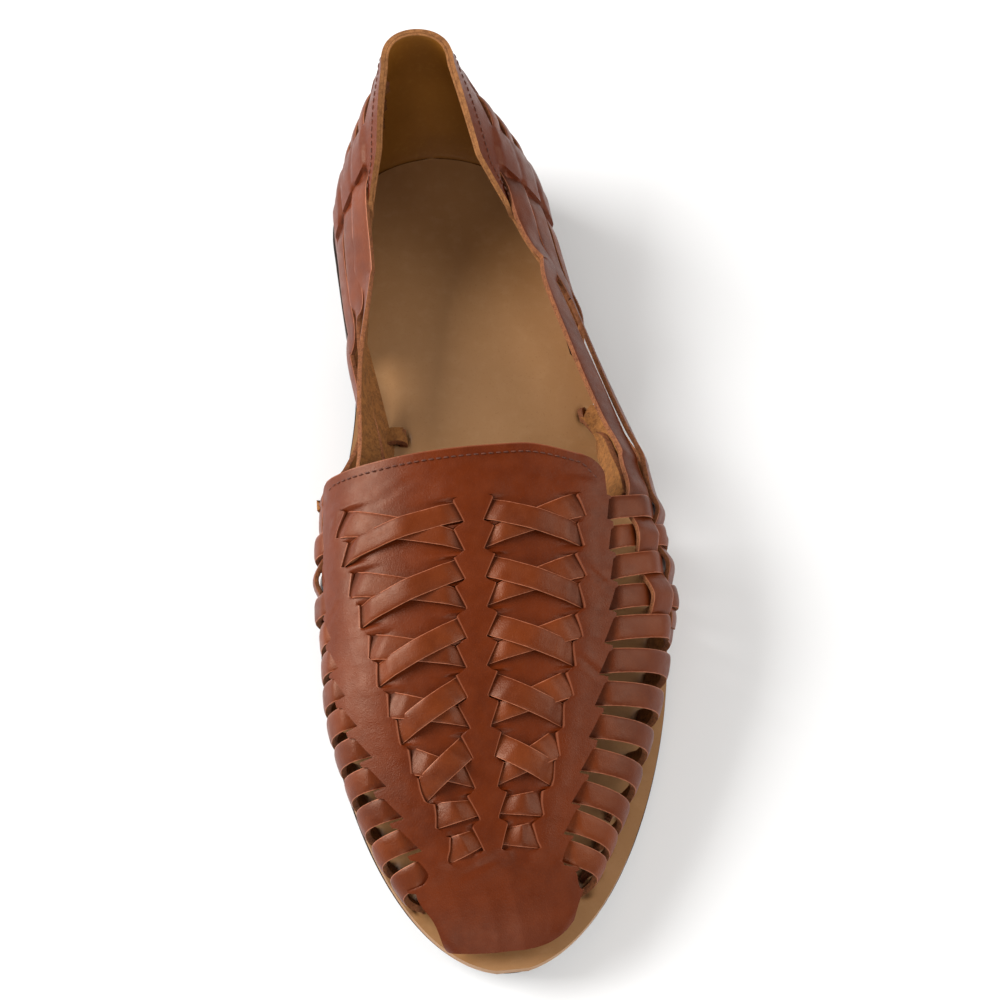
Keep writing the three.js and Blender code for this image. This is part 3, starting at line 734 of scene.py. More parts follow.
# %% [markdown]
# ## The side straps
# Twelve short straps a side come out from under the plate's cut edge and go down into the insole. They are
# told by the same two lengths as the plate, so each strap starts at the plate's edge and ends where the skin
# meets the insole. Those near the toe lean forward. The first five dip and rise where the long straps pass.
# %% Lean of the side straps, and girths of the long straps that cross them
SIDE_SLANT = {-1: [0, 0, 0, 0, 0, -0.3, -1, -1.4, -2, -3.6, -6, -7.5],
              1: [5.5, 6.5, 6.5, 5, 4, 1.8, -0.5, -4, -7.6, -11.2, -14, -13]}
WEAVE = {
    1: [[(10, 47), (-9, 44.6), (-20, 44.4), (-32, 46.5), (-50, 49)],
        [(10, 55.5), (-3, 55.2), (-15, 55.4), (-30, 56.5), (-47, 57.5)],
        [(10, 64), (-10, 66), (-33, 66.5)]],
    -1: [[], [], [(10, 58), (-2, 60), (-14, 63), (-34, 65)]],
}
WEAVE_ROWS = 5


def weave_girth(side, strap, y):
    points = sorted(WEAVE[side][strap])
    return np.interp(y, [p[0] for p in points], [p[1] for p in points])


def side_y(row, side, girth):
    """Where a side strap lies along the foot, from its girth past the plate's edge."""
    root = side_root_y(row, side)
    span = min(31, float(reach_at(root)) - side * float(ridge(root)) - edge_at(root, side) + 1.5)
    away = np.clip((girth - edge_at(root, side)) / span, -0.1, 1.15)
    bend = 0.3 * float(smooth(row, 5, 9))
    return root + SIDE_SLANT[side][row] * lerp(away, np.sign(away) * away**2, bend)


def long_over(strap, row):
    """Over one side strap, under the next."""
    return (strap + row) % 2 == 1


def side_end(row, side):
    """Girth at which a side strap meets the insole."""
    root = side_root_y(row, side)
    return float(reach_at(root + SIDE_SLANT[side][row])) - side * float(ridge(root))


print("free girth of the first and last outer strap:",
      [round(side_end(row, 1) - float(edge_at(side_root_y(row, 1), 1)), 1) for row in (0, ROWS - 1)], "mm")

# %% Side straps
def side_route(row, side):
    root = side_root_y(row, side)
    start = float(edge_at(root, side)) - 4.5
    end = side_end(row, side)
    tail = 2.2

    def place(u, v):
        girth = lerp(start, end + tail, u)
        width = STRAP_WIDTH * (1 - 0.06 * np.sin(np.pi * u))
        y = side_y(row, side, girth) + (v - 0.5) * width
        s = ridge(y) + side * girth
        below = np.clip(girth - end, 0, tail)
        lift = lerp(-1.7, -0.1, smooth(girth - start, 3.2, 8.0))
        met_y = side_y(row, side, end - 18)
        for strap, points in enumerate(WEAVE[side]):
            if row < WEAVE_ROWS and points and met_y > min(p[0] for p in points):
                bump = bell(np.abs(s) - weave_girth(side, strap, met_y), 4.6)
                lift = lift + bump * (-1.1 if long_over(strap, row) else 1.3)
        lift = lift - 0.35 * np.abs(2 * v - 1) ** 4 + 0.15
        point = vamp(y, np.clip(s, -reach_at(y), reach_at(y)), lift)
        point[..., 2] = point[..., 2] - below
        return point

    return place


# Painted shade at the root under the plate's edge and where the strap goes into the insole.
def side_painted_shade(u, v):
    return np.maximum(1 - smooth(u, 0.08, 0.2), smooth(u, 0.9, 0.97))


for side, word in SIDES:
    straps = [(44, side_route(row, side), tinted(draw_tint(100 + row + side), side_painted_shade))
              for row in range(ROWS)]
    group = lace("side_straps_" + word, straps, STRAP_THICK, 0.3, side < 0)
    print(group.name, len(straps), "straps")

# %% [markdown]
# ## The long straps
# Three long straps a side come out of the heel counter and cross the open waist; the three outer ones and the
# lowest inner one are woven over and under the first side straps. Each runs up from under the counter's band,
# through the open waist by listed points, and if woven over the skin, lifted or sunk where it meets each side
# strap.
# %% Lines of the long straps
FRONT_V = [0.725, 0.53, 0.3]
WALL_LIFTS = [(0.27, -2.6), (0.235, -2.2), (0.207, -0.9), (0.175, 0.45), (0.12, 0.9), (0.06, 1.0),
              (0.008, 1.0)]
LONG_WIDTH, LONG_THICK = [9.0, 8.2, 7.4], 1.3


def wall_places(strap, side):
    places = []
    for front, lift in WALL_LIFTS:
        t = front if side < 0 else 1 - front
        v = FRONT_V[strap] + 0.02 * (0.2 - front) / 0.2
        places.append((counter(t, v, lift), wall_normal(t, v)))
    return places


def weave_places(strap, side, last_y):
    places = []
    for y in np.arange(3.5 if side < 0 else 7, last_y, -2.4):
        girth = float(weave_girth(side, strap, y))
        lift = 0.1 - (2.3 * float(smooth(y, -9, 5)) if strap == 0 else 0)
        for row in range(WEAVE_ROWS):
            centre = float(side_y(row, side, girth - side * float(ridge(y))))
            lift += bell(y - centre, 3.6) * (1.5 if long_over(strap, row) else -1.6)
        if y < last_y + 6:
            lift -= 2.5 * (1 - (y - last_y) / 6)
        places.append((vamp(y, side * girth, max(lift, -3.2)), skin_normal(y, side * girth)))
    return places


def open_places(rows):
    return [(np.array(point, float), unit(np.array(way, float))) for point, way in rows]


OPEN_WAIST = {
    (1, 0): [((30.6, 64.5, 40), (0.84, -0.1, 0.54)), ((35.0, 47.5, 38), (0.8, -0.1, 0.6)),
             ((39.0, 32.4, 36.8), (0.74, 0, 0.67)), ((43.0, 17.5, 36.3), (0.76, 0, 0.65))],
    (1, 1): [((38.2, 62, 29.5), (0.95, 0, 0.3)), ((42.6, 44, 28.8), (0.95, 0, 0.3)),
             ((46.4, 29, 28.8), (0.93, 0, 0.36)), ((49.6, 16, 30), (0.92, 0, 0.38))],
    (1, 2): [((40.0, 54, 18.5), (0.99, 0, 0.1)), ((44.0, 36, 18.5), (0.99, 0, 0.1)),
             ((49.0, 20, 20), (0.97, 0, 0.2))],
    (-1, 0): [((-25.6, 64, 38), (-0.97, 0, 0.1)), ((-28.6, 46, 35.4), (-0.96, 0, -0.15)),
              ((-29.4, 30, 34.8), (-0.9, 0, -0.4)), ((-29.4, 13, 35.6), (-0.72, 0, -0.66)),
              ((-32.6, -1, 36.6), (-0.7, 0, -0.6)), ((-35, -8, 36), (-0.75, 0, -0.5))],
    (-1, 1): [((-28.4, 60, 29.5), (-0.96, 0, -0.1)), ((-27.4, 47, 27), (-0.85, -0.1, -0.45)),
              ((-25.4, 35, 22), (-0.7, -0.3, -0.65)), ((-23.2, 25, 16), (-0.6, -0.4, -0.7)),
              ((-22, 18, 12), (-0.6, -0.4, -0.7))],
    (-1, 2): [((-31.5, 55, 18), (-0.99, 0, 0.1)), ((-30, 38, 18), (-0.99, 0, 0.05)),
              ((-31, 24, 19.5), (-0.9, 0.3, -0.2)), ((-36, 13, 22.5), (-0.7, 0.6, -0.3))],
}
LAST_Y = {(1, 0): -48, (1, 1): -45, (1, 2): -32, (-1, 2): -33}
print("long straps:", len(OPEN_WAIST), "of which woven:", len(LAST_Y))

# %% Long straps
def long_route(strap, side):
    places = wall_places(strap, side) + open_places(OPEN_WAIST[side, strap])
    if (side, strap) in LAST_Y:
        places += weave_places(strap, side, LAST_Y[side, strap])
    line, facing, ahead = strip_frame(places, 400)
    along = run_along(line) / run_along(line)[-1]

    def place(u, v):
        out = place_on(facing, along, u)
        across = unit(np.cross(out, place_on(ahead, along, u))) * side
        puff = 0.12 - 0.3 * np.abs(2 * v - 1) ** 4
        middle = place_on(line, along, u)
        return middle + across * ((v - 0.5) * LONG_WIDTH[strap])[:, None] + unit(out) * puff[:, None]

    return place


# Painted shade where the strap comes out from under the counter's band.
def long_painted_shade(u, v):
    return 1 - smooth(u, 0.05, 0.16)


for side, word in SIDES:
    straps = [(150, long_route(strap, side), tinted(draw_tint(50 + strap + side, 0.6), long_painted_shade))
              for strap in range(len(LONG_WIDTH))]
    group = lace("long_straps_" + word, straps, LONG_THICK, 0.25, side < 0)
    print(group.name, len(straps), "straps")

# %% [markdown]
# ## The lacing ends
# Where a lace ends, it is drawn to the inside and tucked through a hole in the insole. Three such ends show
# inside the waist. A short strip along a few points is enough, darkened with painted shade where it goes down
# its hole.
# %% Short lacing ends inside the waist
LACE_ENDS = [
    (5.5, [((-25.5, 27, 15.5), (-0.2, 0, -1)), ((-21, 28.3, 15.2), (0, 0, -1)),
           ((-17.6, 28.6, 13.8), (0.5, 0, -1)), ((-16.2, 28.4, 11), (0.9, 0, -0.3))]),
    (7.0, [((45.5, -6, 33), (0.7, 0.3, -0.4)), ((45.5, 6, 27.5), (0.7, 0.3, -0.5)),
           ((45, 16, 21), (0.7, 0.4, -0.6)), ((43.5, 25, 16.5), (0.4, 0.3, -0.9)),
           ((40.5, 30.5, 14.6), (0, 0, -1)), ((38.3, 31.5, 11.5), (-0.8, 0, -0.5))]),
    (7.5, [((41, -9, 38), (0.5, 0.3, -0.6)), ((42.5, 2, 31), (0.6, 0.4, -0.6)),
           ((43, 11, 24), (0.6, 0.5, -0.6)), ((43, 19, 17.5), (0.5, 0.6, -0.7)),
           ((43, 23, 12.5), (0.4, 0.5, -0.8))]),
]
END_STEPS, END_CELLS = 40, 6


# Painted shade where the end goes down its hole.
def end_painted_shade(u, v):
    return smooth(u, 0.75, 1)


lace_ends = [sheet("end", END_STEPS, END_CELLS, strip(open_places(rows), END_STEPS, width, 1, 0.15, 0.4),
                   tinted(0, end_painted_shade)) for width, rows in LACE_ENDS]
ends = join("lacing_ends", lace_ends)
thicken(ends, STRAP_THICK, bevel=0.3)
print(ends.name, len(LACE_ENDS), "ends")

# %% [markdown]
# ## The heel counter
# The counter is a stiff wall with slits too: the long straps go under a smooth band near its front and show
# again behind it. A mustard lining stands inside, and the raw edges of both make the pale collar. The wall is
# one grid, with a narrow column of faces at each slit so that its height can step there, and openings fan
# forward between the long straps as soft troughs, darkened with painted shade like the slits.
# %% Bands, slits and collar of the wall
BACK_V = [0.715, 0.56, 0.4]
WALL_THICK, LINING_THICK, LINING_GAP = 1.3, 0.9, 0.02
FACE = [(0, -0.1), (0.202, -0.6), (0.205, 0.5), (0.29, 0.45), (0.293, -0.6), (0.382, -0.6), (0.385, 0.45),
        (0.5, 0.0)]
FACE_CELLS = [24, 1, 12, 1, 12, 1, 16]
fronts = [row[0] for row in FACE] + [1 - row[0] for row in FACE[-2::-1]]
heights = [row[1] for row in FACE] + [row[1] for row in FACE[-2::-1]]
cells = np.concatenate([[0], np.cumsum(FACE_CELLS + FACE_CELLS[::-1])])
WALL_COLUMNS, WALL_BOTTOM_V = int(cells[-1]), 0.012
# Share of the wall's height at which the collar is cut, by t.
COLLAR_FRONT = [(0, 0.7), (0.05, 0.755), (0.09, 0.81), (0.13, 0.885), (0.165, 0.955), (0.195, 1), (0.5, 1)]
collar_front = track(COLLAR_FRONT, 1)
# Each opening's t and v at its back, then at its front.
FRONT_GAPS = [(0.2, 0.815, 0.085, 0.825), (0.21, 0.65, 0.13, 0.6), (0.215, 0.42, 0.165, 0.24)]


def collar_top(t):
    """The wall is cut lower towards its two fronts."""
    return collar_front(np.minimum(t, 1 - t))


def gaps(front, v):
    """1 in the openings that fan forward between the long straps, which are sunk and darkened with painted
    shade.
    """
    deep = np.zeros_like(front)
    for back_f, back_v, front_f, front_v in FRONT_GAPS:
        t = np.clip((back_f - front) / (back_f - front_f), 0, 1)
        inside = (front <= back_f) & (front >= front_f)
        half = 0.008 + 0.034 * np.sin(np.pi * t**0.7)
        off = np.abs(v - lerp(back_v, front_v, t))
        deep = np.maximum(deep, np.where(inside, 1 - smooth(off, half * 0.5, half * 1.3), 0))
    return deep


def window(v, centres, half, soft=0.03):
    """1 at the height of each strap, and 0 between them."""
    return np.max([1 - smooth(np.abs(v - centre), half, half + soft) for centre in centres], axis=0)


def slit_window(front, v):
    return np.where(front < 0.25, window(v, FRONT_V, 0.085), window(v, BACK_V, 0.062))


print("counter columns:", WALL_COLUMNS)

# %% Counter wall
def counter_place(u, v):
    column = u * WALL_COLUMNS
    t = np.interp(column, cells, fronts)
    front = np.minimum(t, 1 - t)
    index = np.clip(np.searchsorted(cells, column - 1e-6) - 1, 0, len(cells) - 2)
    part = (column - cells[index]) / (cells[index + 1] - cells[index])
    table = np.array(heights)
    eased = np.where((cells[index + 1] - cells[index]) > 1, part * part * (3 - 2 * part), part)
    height = lerp(table[index], table[index + 1], eased)
    puff = 0.5 * bell(front - 0.247, 0.05) * window(v, FRONT_V, 0.06, 0.06)
    return t, height * slit_window(front, v) + puff


def counter_point(u, v):
    t, lift = counter_place(u, v)
    height = lerp(WALL_BOTTOM_V, collar_top(t), v)
    lift = lift - 1.1 * gaps(np.minimum(t, 1 - t), height)
    return counter(t, height, lift * smooth(v, 0.02, 0.12))


# Painted shade along the slits and in the openings between the long straps.
def counter_painted_shade(u, v):
    t, _ = counter_place(u, v)
    front = np.minimum(t, 1 - t)
    near = 0.6 * np.max([bell(front - slit, 0.004) for slit in (0.203, 0.2915, 0.3835)], axis=0)
    return np.maximum(near * slit_window(front, v), gaps(front, lerp(WALL_BOTTOM_V, collar_top(t), v)))


counter_wall = sheet("counter", WALL_COLUMNS, 60, counter_point, {"painted_shade": counter_painted_shade})
thicken(counter_wall, WALL_THICK, bevel=0, flip=True)
print(counter_wall.name, len(counter_wall.data.polygons), "faces")

# %% Lining
def lining_point(u, v):
    """The lining follows the wall and curls in to the insole round the back."""
    curl = 3.2 * (1 - v) ** 3 * (1 - smooth(np.abs(u - 0.5), 0.05, 0.2))
    return counter(u, v * collar_top(u), -WALL_THICK - LINING_GAP - curl)


lining = sheet("counter_lining", 130, 30, lining_point)
thicken(lining, LINING_THICK, bevel=0.2, flip=True)
print(lining.name, len(lining.data.polygons), "faces")

# %% [markdown]
# ## The back straps
# Behind the counter's band the long straps come up through one slit and go down through the next, so only a
# short hump of each shows. Each is a strip that rises out of the wall and sinks back into it.
# %% Straps that show behind the counter's band
BACK_STOPS = [(0.262, -2.4), (0.283, -1.8), (0.296, -0.5), (0.318, 0.55), (0.34, 0.75), (0.36, 0.5),
              (0.378, -0.5), (0.392, -1.8), (0.41, -2.4)]
BACK_WIDTH, BACK_STEPS = 6.4, 40


def back_route(v_at, side):
    places = []
    for front, lift in BACK_STOPS:
        t = front if side < 0 else 1 - front
        places.append((counter(t, v_at, lift), wall_normal(t, v_at)))
    return strip(places, BACK_STEPS, BACK_WIDTH, side, 0.2, 0.5)


for side, word in SIDES:
    straps = [(BACK_STEPS, back_route(v_at, side), tinted(0, near_ends(0.12, 0.3))) for v_at in BACK_V]
    group = lace("back_straps_" + word, straps, STRAP_THICK, 0.28, side < 0)
    print(group.name, len(straps), "straps")

# %% [markdown]
# ## The insole
# The insole is tan leather, cut to the sole's outline in the forepart and set inside the counter at the heel.
# It is cupped a little under the heel and the ball, and pressed down where each side strap goes in. A fine
# grid carries those marks as shape, and the same sum paints shade into them in the finish.
# %% Insole
def station(t, start, back):
    """Spreads the rows of a grid closer towards both ends."""
    return lerp(start, back, (1 - np.cos(np.pi * t)) / 2)


def insole_inset(y):
    return lerp(0.4, COUNTER_INSET + 2.35, smooth(y, COUNTER_FRONT_Y - 3.5, COUNTER_FRONT_Y))


def strap_foot(row, side):
    y = float(side_y(row, side, side_end(row, side)))
    return skin(y, side * float(reach_at(y)))


strap_feet = [strap_foot(row, side) for side, _ in SIDES for row in range(ROWS)]
INSOLE_HEEL_INSET = insole_inset(BACK_Y) + 3.1
HOLES = [(-17.2, 28.2), (38.9, 31.2)]


def slot_depth(x, y):
    """1 where a strap or a lace goes into the insole."""
    deep = np.zeros_like(x)
    for foot in strap_feet:
        near = bell(x - foot[0], 1.7) * (1 - smooth(np.abs(y - foot[1]), 2.6, 4.0))
        deep = np.maximum(deep, near)
    for hole in HOLES:
        deep = np.maximum(deep, bell(np.hypot(x - hole[0], y - hole[1]), 2.2, 4))
    return deep


def insole_xy(u, v):
    y = station(v, TOE_Y + 0.4, BACK_Y - INSOLE_HEEL_INSET)
    full = sole_half(np.minimum(y, HEEL_Y).clip(TOE_Y + 0.5))
    reach = sole_half(squeeze(y, INSOLE_HEEL_INSET)) * (1 - insole_inset(y) / full)
    reach = np.where(y < TOE_Y + 0.5, 0, reach)
    return sole_middle(y) + reach * (2 * u - 1), y


def insole_point(u, v):
    x, y = insole_xy(u, v)
    edge = np.abs(2 * u - 1)
    cup = (0.5 * bell(y - 92, 26) + 0.35 * bell(y + 55, 34)) * (1 - edge**2)
    slots = slot_depth(x, y) * (1 - smooth(edge, 0.9, 0.96))
    return np.stack([x, y, insole_top(y) - cup - 1.1 * slots], -1)


# The same slot depth paints shade into the slots in the finish.
insole = sheet("insole_sheet", 150, 300, insole_point, {"painted_shade": lambda u, v: slot_depth(*insole_xy(u, v))})
thicken(insole, INSOLE_THICK, bevel=0)
print(insole.name, len(insole.data.polygons), "faces,", len(strap_feet), "strap feet")

# %% [markdown]
# ## The outsole and the heel
# Under the insole lie a dark outsole, bent to the toe spring, and a low flat heel lift. The outsole is
# trimmed on a slant, so its lower edge is drawn in. The shift fades towards the toe and the heel, where the
# outline is narrow, or the two sides would cross.
# %% Outsole and heel lift
def outsole_point(u, v):
    y = station(v, TOE_Y, BACK_Y)
    return np.stack([sole_middle(y) + sole_half(y) * (2 * u - 1), y, rise_at(y) + OUTSOLE_THICK], -1)


UNDERCUT, NARROW_HALF = 2.0, 12


def undercut(piece, depth):
    """Draws the lower edge of the sole in, as it is trimmed, so that little of it shows from above."""
    points = read_points(piece)
    x, y, z = (points / MM - SHIFT).T
    low = 1 - smooth(z - rise_at(y), 0, OUTSOLE_THICK - 0.6)
    inward = np.clip((x - sole_middle(y)) / np.maximum(sole_half(y), 1), -1, 1)
    inward = inward * smooth(sole_half(y), 0, NARROW_HALF)
    toe, back = smooth(-y, 60, 132), smooth(y, 100, 132)
    points[:, 0] -= low * depth * inward * MM
    points[:, 1] += low * depth * (toe - back) * MM
    write_points(piece, points)


outsole = sheet("outsole_sheet", 24, 260, outsole_point)
thicken(outsole, OUTSOLE_THICK, bevel=0)
undercut(outsole, UNDERCUT)


LIFT_THICK = float(rise_at(BACK_Y)) - GAP


def heel_point(u, v):
    y = lerp(HEEL_FRONT_Y, BACK_Y - HEEL_INSET, np.sin(np.pi / 2 * v))
    reach = sole_half(squeeze(y, HEEL_INSET)) * (1 - HEEL_INSET / HEEL_HALF)
    return np.stack([sole_middle(y) + reach * (2 * u - 1), y, np.full_like(y, LIFT_THICK)], -1)


heel = sheet("heel_lift", 20, 90, heel_point)
thicken(heel, LIFT_THICK, bevel=0.6, segments=3)
print(outsole.name, len(outsole.data.polygons), heel.name, len(heel.data.polygons), "faces")

# %% [markdown]
# ## The stitches
# One stitch is a short pad of thread sunk a little into the leather. It is shaped once from a small sphere,
# and a copy is laid at every step of a seam, turned along it. All of a seam's stitches are one mesh, made
# from arrays, since hundreds of objects would be slow to join.
# %% One stitch, then the seams
bpy.ops.object.select_all(action="DESELECT")
bpy.ops.mesh.primitive_uv_sphere_add(segments=8, ring_count=5, radius=1)
pattern = bpy.context.object
pattern_points = np.array([v.co for v in pattern.data.vertices])
pattern_faces = [list(p.vertices) for p in pattern.data.polygons]
bpy.data.objects.remove(pattern)
STITCH, STITCH_PITCH = (0.78, 0.26, 0.22), 2.1


def seam(name, points, ways):
    along = run_along(points)
    places = np.arange(STITCH_PITCH, along[-1] - STITCH_PITCH / 2, STITCH_PITCH)
    verts, faces = [], []
    ahead = unit(np.gradient(points, axis=0))
    for at in places:
        centre, out, forward = (place_on(table, along, at) for table in (points, ways, ahead))
        out, forward = unit(out), unit(forward)
        turn = np.stack([forward, np.cross(out, forward), out])
        base = len(verts)
        verts += list((centre + SHIFT + (pattern_points * STITCH) @ turn) * MM)
        faces += [[base + k for k in face] for face in pattern_faces]
    mesh = bpy.data.meshes.new(name)
    mesh.from_pydata(verts, [], faces)
    piece = bpy.data.objects.new(name, mesh)
    bpy.context.scene.collection.objects.link(piece)
    only(piece)
    bpy.ops.object.mode_set(mode="EDIT")
    bpy.ops.mesh.select_all(action="SELECT")
    bpy.ops.mesh.normals_make_consistent(inside=False)
    bpy.ops.object.mode_set(mode="OBJECT")
    bpy.ops.object.shade_smooth()
    print(name, "stitches", len(places))
    return piece

# %% Seams of the collar and the throat
COLLAR_SEAM_DOWN, COLLAR_SEAM_LIFT = 0.075, 0.06
around = np.linspace(0.03, 0.97, 300)
seam_v = collar_top(around) - COLLAR_SEAM_DOWN
collar_seam = seam("collar_stitches", counter(around, seam_v, COLLAR_SEAM_LIFT), wall_normal(around, seam_v))

THROAT_SEAM_IN, THROAT_SEAM_LIFT = 2.6, 0.36
seam_girth = np.linspace(-46.0, 36.5, 200)
seam_y = THROAT_Y - THROAT_SEAM_IN + throat_bow(seam_girth)
seam_y = seam_y - 1.2 * smooth(-seam_girth, 42, 47) - 4.0 * smooth(seam_girth, 31, 37)
seam_s = ridge(seam_y) + seam_girth
throat_seam = seam("throat_stitches", vamp(seam_y, seam_s, THROAT_SEAM_LIFT), skin_normal(seam_y, seam_s))

# %% [markdown]
# ## Finishes
# Leather is never one colour: dye sits darker in the pores and folds, and wears pale on raised places. Each
# finish is a sum of soft noises read at the place on the object, with the grain as a fine bump. A small class
# lets the sums be written as plain expressions.
# %% Shader sums
class Sum:
    """A socket of a material that can be added, subtracted and multiplied."""

    def __init__(self, finish, socket):
        self.finish, self.socket = finish, socket

    def _math(self, operation, a, b):
        return self.finish.node("ShaderNodeMath", {"operation": operation}, {0: a, 1: b})

    def __add__(self, other):
        return self._math("ADD", self, other)

    def __sub__(self, other):
        return self._math("SUBTRACT", self, other)

    def __rsub__(self, other):
        return self._math("SUBTRACT", other, self)

    def __mul__(self, other):
        return self._math("MULTIPLY", self, other)

    __radd__, __rmul__ = __add__, __mul__


class Finish:
    """A material under construction."""

    def __init__(self, name, roughness, **constants):
        self.material = bpy.data.materials.new(name)
        self.material.use_nodes = True
        self.tree = self.material.node_tree
        self.shader = self.tree.nodes["Principled BSDF"]
        self.shader.inputs["Roughness"].default_value = roughness
        for key, value in constants.items():
            self.shader.inputs[key.replace("_", " ")].default_value = value
        self.place = self.node("ShaderNodeTexCoord", {}, {}, "Object")

    def node(self, kind, settings, inputs, output=0):
        new = self.tree.nodes.new(kind)
        for key, value in settings.items():
            setattr(new, key, value)
        for key, value in inputs.items():
            if isinstance(value, Sum):
                self.tree.links.new(value.socket, new.inputs[key])
            else:
                new.inputs[key].default_value = value
        return Sum(self, new.outputs[output])

    def noise(self, scale, detail=2.0, rough=0.5, warp=0.0, stretch=None):
        place = self.place
        if stretch:
            place = self.node("ShaderNodeMapping", {}, {"Vector": place, "Scale": stretch})
        inputs = {"Vector": place, "Scale": scale, "Detail": detail, "Roughness": rough, "Distortion": warp}
        return self.node("ShaderNodeTexNoise", {}, inputs)

    def cells(self, scale):
        inputs = {"Vector": self.place, "Scale": scale}
        return self.node("ShaderNodeTexVoronoi", {"feature": "F1"}, inputs, "Distance")

    def fade(self, value, low, high):
        inputs = {"Value": value, "From Min": low, "From Max": high}
        return self.node("ShaderNodeMapRange", {"interpolation_type": "SMOOTHSTEP"}, inputs)

    def mark(self, name):
        return self.node("ShaderNodeAttribute", {"attribute_name": name}, {}, "Fac")

    def mix(self, amount, a, b):
        return self.node("ShaderNodeMix", {"data_type": "RGBA"}, {0: amount, 6: a, 7: b}, 2)

    def bump(self, height, strength, distance, below=None):
        inputs = {"Height": height, "Strength": strength, "Distance": distance * MM}
        if below:
            inputs["Normal"] = below
        return self.node("ShaderNodeBump", {}, inputs)

    def feed(self, **sums):
        for key, value in sums.items():
            self.tree.links.new(value.socket, self.shader.inputs[key.replace("_", " ")])
        return self.material


def rgb(red, green, blue):
    """A colour given as it looks on screen, made linear."""
    shares = (c / 255 for c in (red, green, blue))
    return tuple(((c + 0.055) / 1.055) ** 2.4 if c > 10 / 255 else c / 12.92 for c in shares) + (1,)

# %% [markdown]
# ## Brown leather
# The plate and the straps are dyed hide with a low shine. Clouds and patches vary the dye, pale specks are
# painted glints of the grain, and fine cells with noise are the grain. Marks on the mesh place painted shade
# in the slits and a painted highlight on the lips. The shine is tinted warm, or it would turn the brown grey.
# Straps differ a little from each other, and their cut edges are paler, which their own UV map places.
# %% Smooth brown leather, for the plate and the straps
def brown_leather(name, dark, body, light, edge_lines):
    leather = Finish(name, 0.42, IOR=1.4, Specular_IOR_Level=0.42, Specular_Tint=(1, 0.7, 0.52, 1))
    clouds = leather.fade(leather.noise(38, 3, 0.55), 0.22, 0.72)
    patches = leather.fade(leather.noise(170, 4, 0.6), 0.35, 0.68)
    # Pale specks: painted highlight glints of the grain.
    painted_glints = leather.fade(leather.noise(2600, 2, 0.6), 0.54, 0.72)
    colour = leather.mix(clouds, dark, body)
    colour = leather.mix(patches * 0.25, colour, light)
    colour = leather.mix(painted_glints * 0.3, colour, light)
    tint = leather.mark("tint")
    colour = leather.mix(leather.fade(tint, 0, 1) * 0.3, colour, dark)
    colour = leather.mix(leather.fade(0 - tint, 0, 1) * 0.25, colour, light)
    # Painted shade: darkens the leather in the slits and where a strap goes under a neighbour, the plate or
    # the wall.
    painted_shade = leather.fade(leather.mark("painted_shade"), 0.35, 1)
    colour = leather.mix(painted_shade * 0.6, colour, rgb(44, 14, 5))
    # Pale line: painted highlight along the slit lips, raw cut edge colour along the throat.
    raw = leather.fade(leather.mark("raw"), 0.5, 0.95)
    colour = leather.mix(raw * 0.35, colour, rgb(170, 104, 76))
    if edge_lines:
        place = leather.node("ShaderNodeUVMap", {}, {})
        width = leather.node("ShaderNodeSeparateXYZ", {}, {0: place}, "Y")
        off = leather.node("ShaderNodeMath", {"operation": "ABSOLUTE"}, {0: width - 0.5})
        fray = leather.noise(900, 2) * 0.05
        edge = leather.fade(off + fray, 0.486, 0.508)
        colour = leather.mix(edge * 0.6, colour, rgb(180, 110, 80))
    grain = leather.cells(2400) * 0.4 + leather.noise(3600, 2) * 0.6
    folds = leather.noise(420, 3, 0.6, 0.6)
    normal = leather.bump(grain, 0.55, 0.14, leather.bump(folds, 0.2, 0.3))
    rough = leather.fade(leather.noise(300, 3), 0.2, 0.8) * 0.16 + 0.31 + painted_shade * 0.15
    return leather.feed(Base_Color=colour, Roughness=rough, Normal=normal)


PLATE_LEATHER = brown_leather("plate leather", rgb(74, 24, 4), rgb(90, 32, 5), rgb(108, 44, 12), False)
STRAP_LEATHER = brown_leather("strap leather", rgb(74, 26, 6), rgb(99, 40, 11), rgb(122, 58, 25), True)
print(STRAP_LEATHER.name, len(STRAP_LEATHER.node_tree.nodes), "nodes")

# %% [markdown]
# ## Raw edges and the flesh side
# The back of a hide and its cut edges have no skin: they are matt, pale and fibrous. One finish with warped
# noise serves for all of them, in a paler or darker dye.
# %% Fibrous finishes
def fibrous(name, dark, body, light, roughness, scale):
    """Raw leather: short fibres, matt."""
    raw = Finish(name, roughness, IOR=1.4)
    clumps = raw.fade(raw.noise(scale * 0.35, 3, 0.6), 0.3, 0.7)
    fibres = raw.fade(raw.noise(scale, 4, 0.7, 0.8), 0.3, 0.75)
    colour = raw.mix(clumps, dark, body)
    colour = raw.mix(fibres * 0.6, colour, light)
    # Painted shade on the flesh side and cut edges where a strap goes under.
    colour = raw.mix(raw.mark("painted_shade") * 0.6, colour, dark)
    return raw.feed(Base_Color=colour, Normal=raw.bump(raw.noise(scale * 1.3, 3, 0.7), 0.6, 0.25))


CUT_EDGE = fibrous("cut edge", rgb(80, 38, 16), rgb(118, 66, 34), rgb(164, 106, 64), 0.85, 1900)
PLATE_EDGE = fibrous("plate cut edge", rgb(104, 50, 30), rgb(150, 84, 56), rgb(200, 140, 104), 0.8, 1900)
COLLAR_EDGE = fibrous("collar edge", rgb(100, 58, 24), rgb(134, 84, 42), rgb(168, 116, 68), 0.85, 1500)
FLESH_SIDE = fibrous("flesh side", rgb(92, 54, 22), rgb(134, 84, 38), rgb(166, 112, 58), 0.92, 1300)
print("raw finishes:", [raw.name for raw in (CUT_EDGE, PLATE_EDGE, COLLAR_EDGE, FLESH_SIDE)])

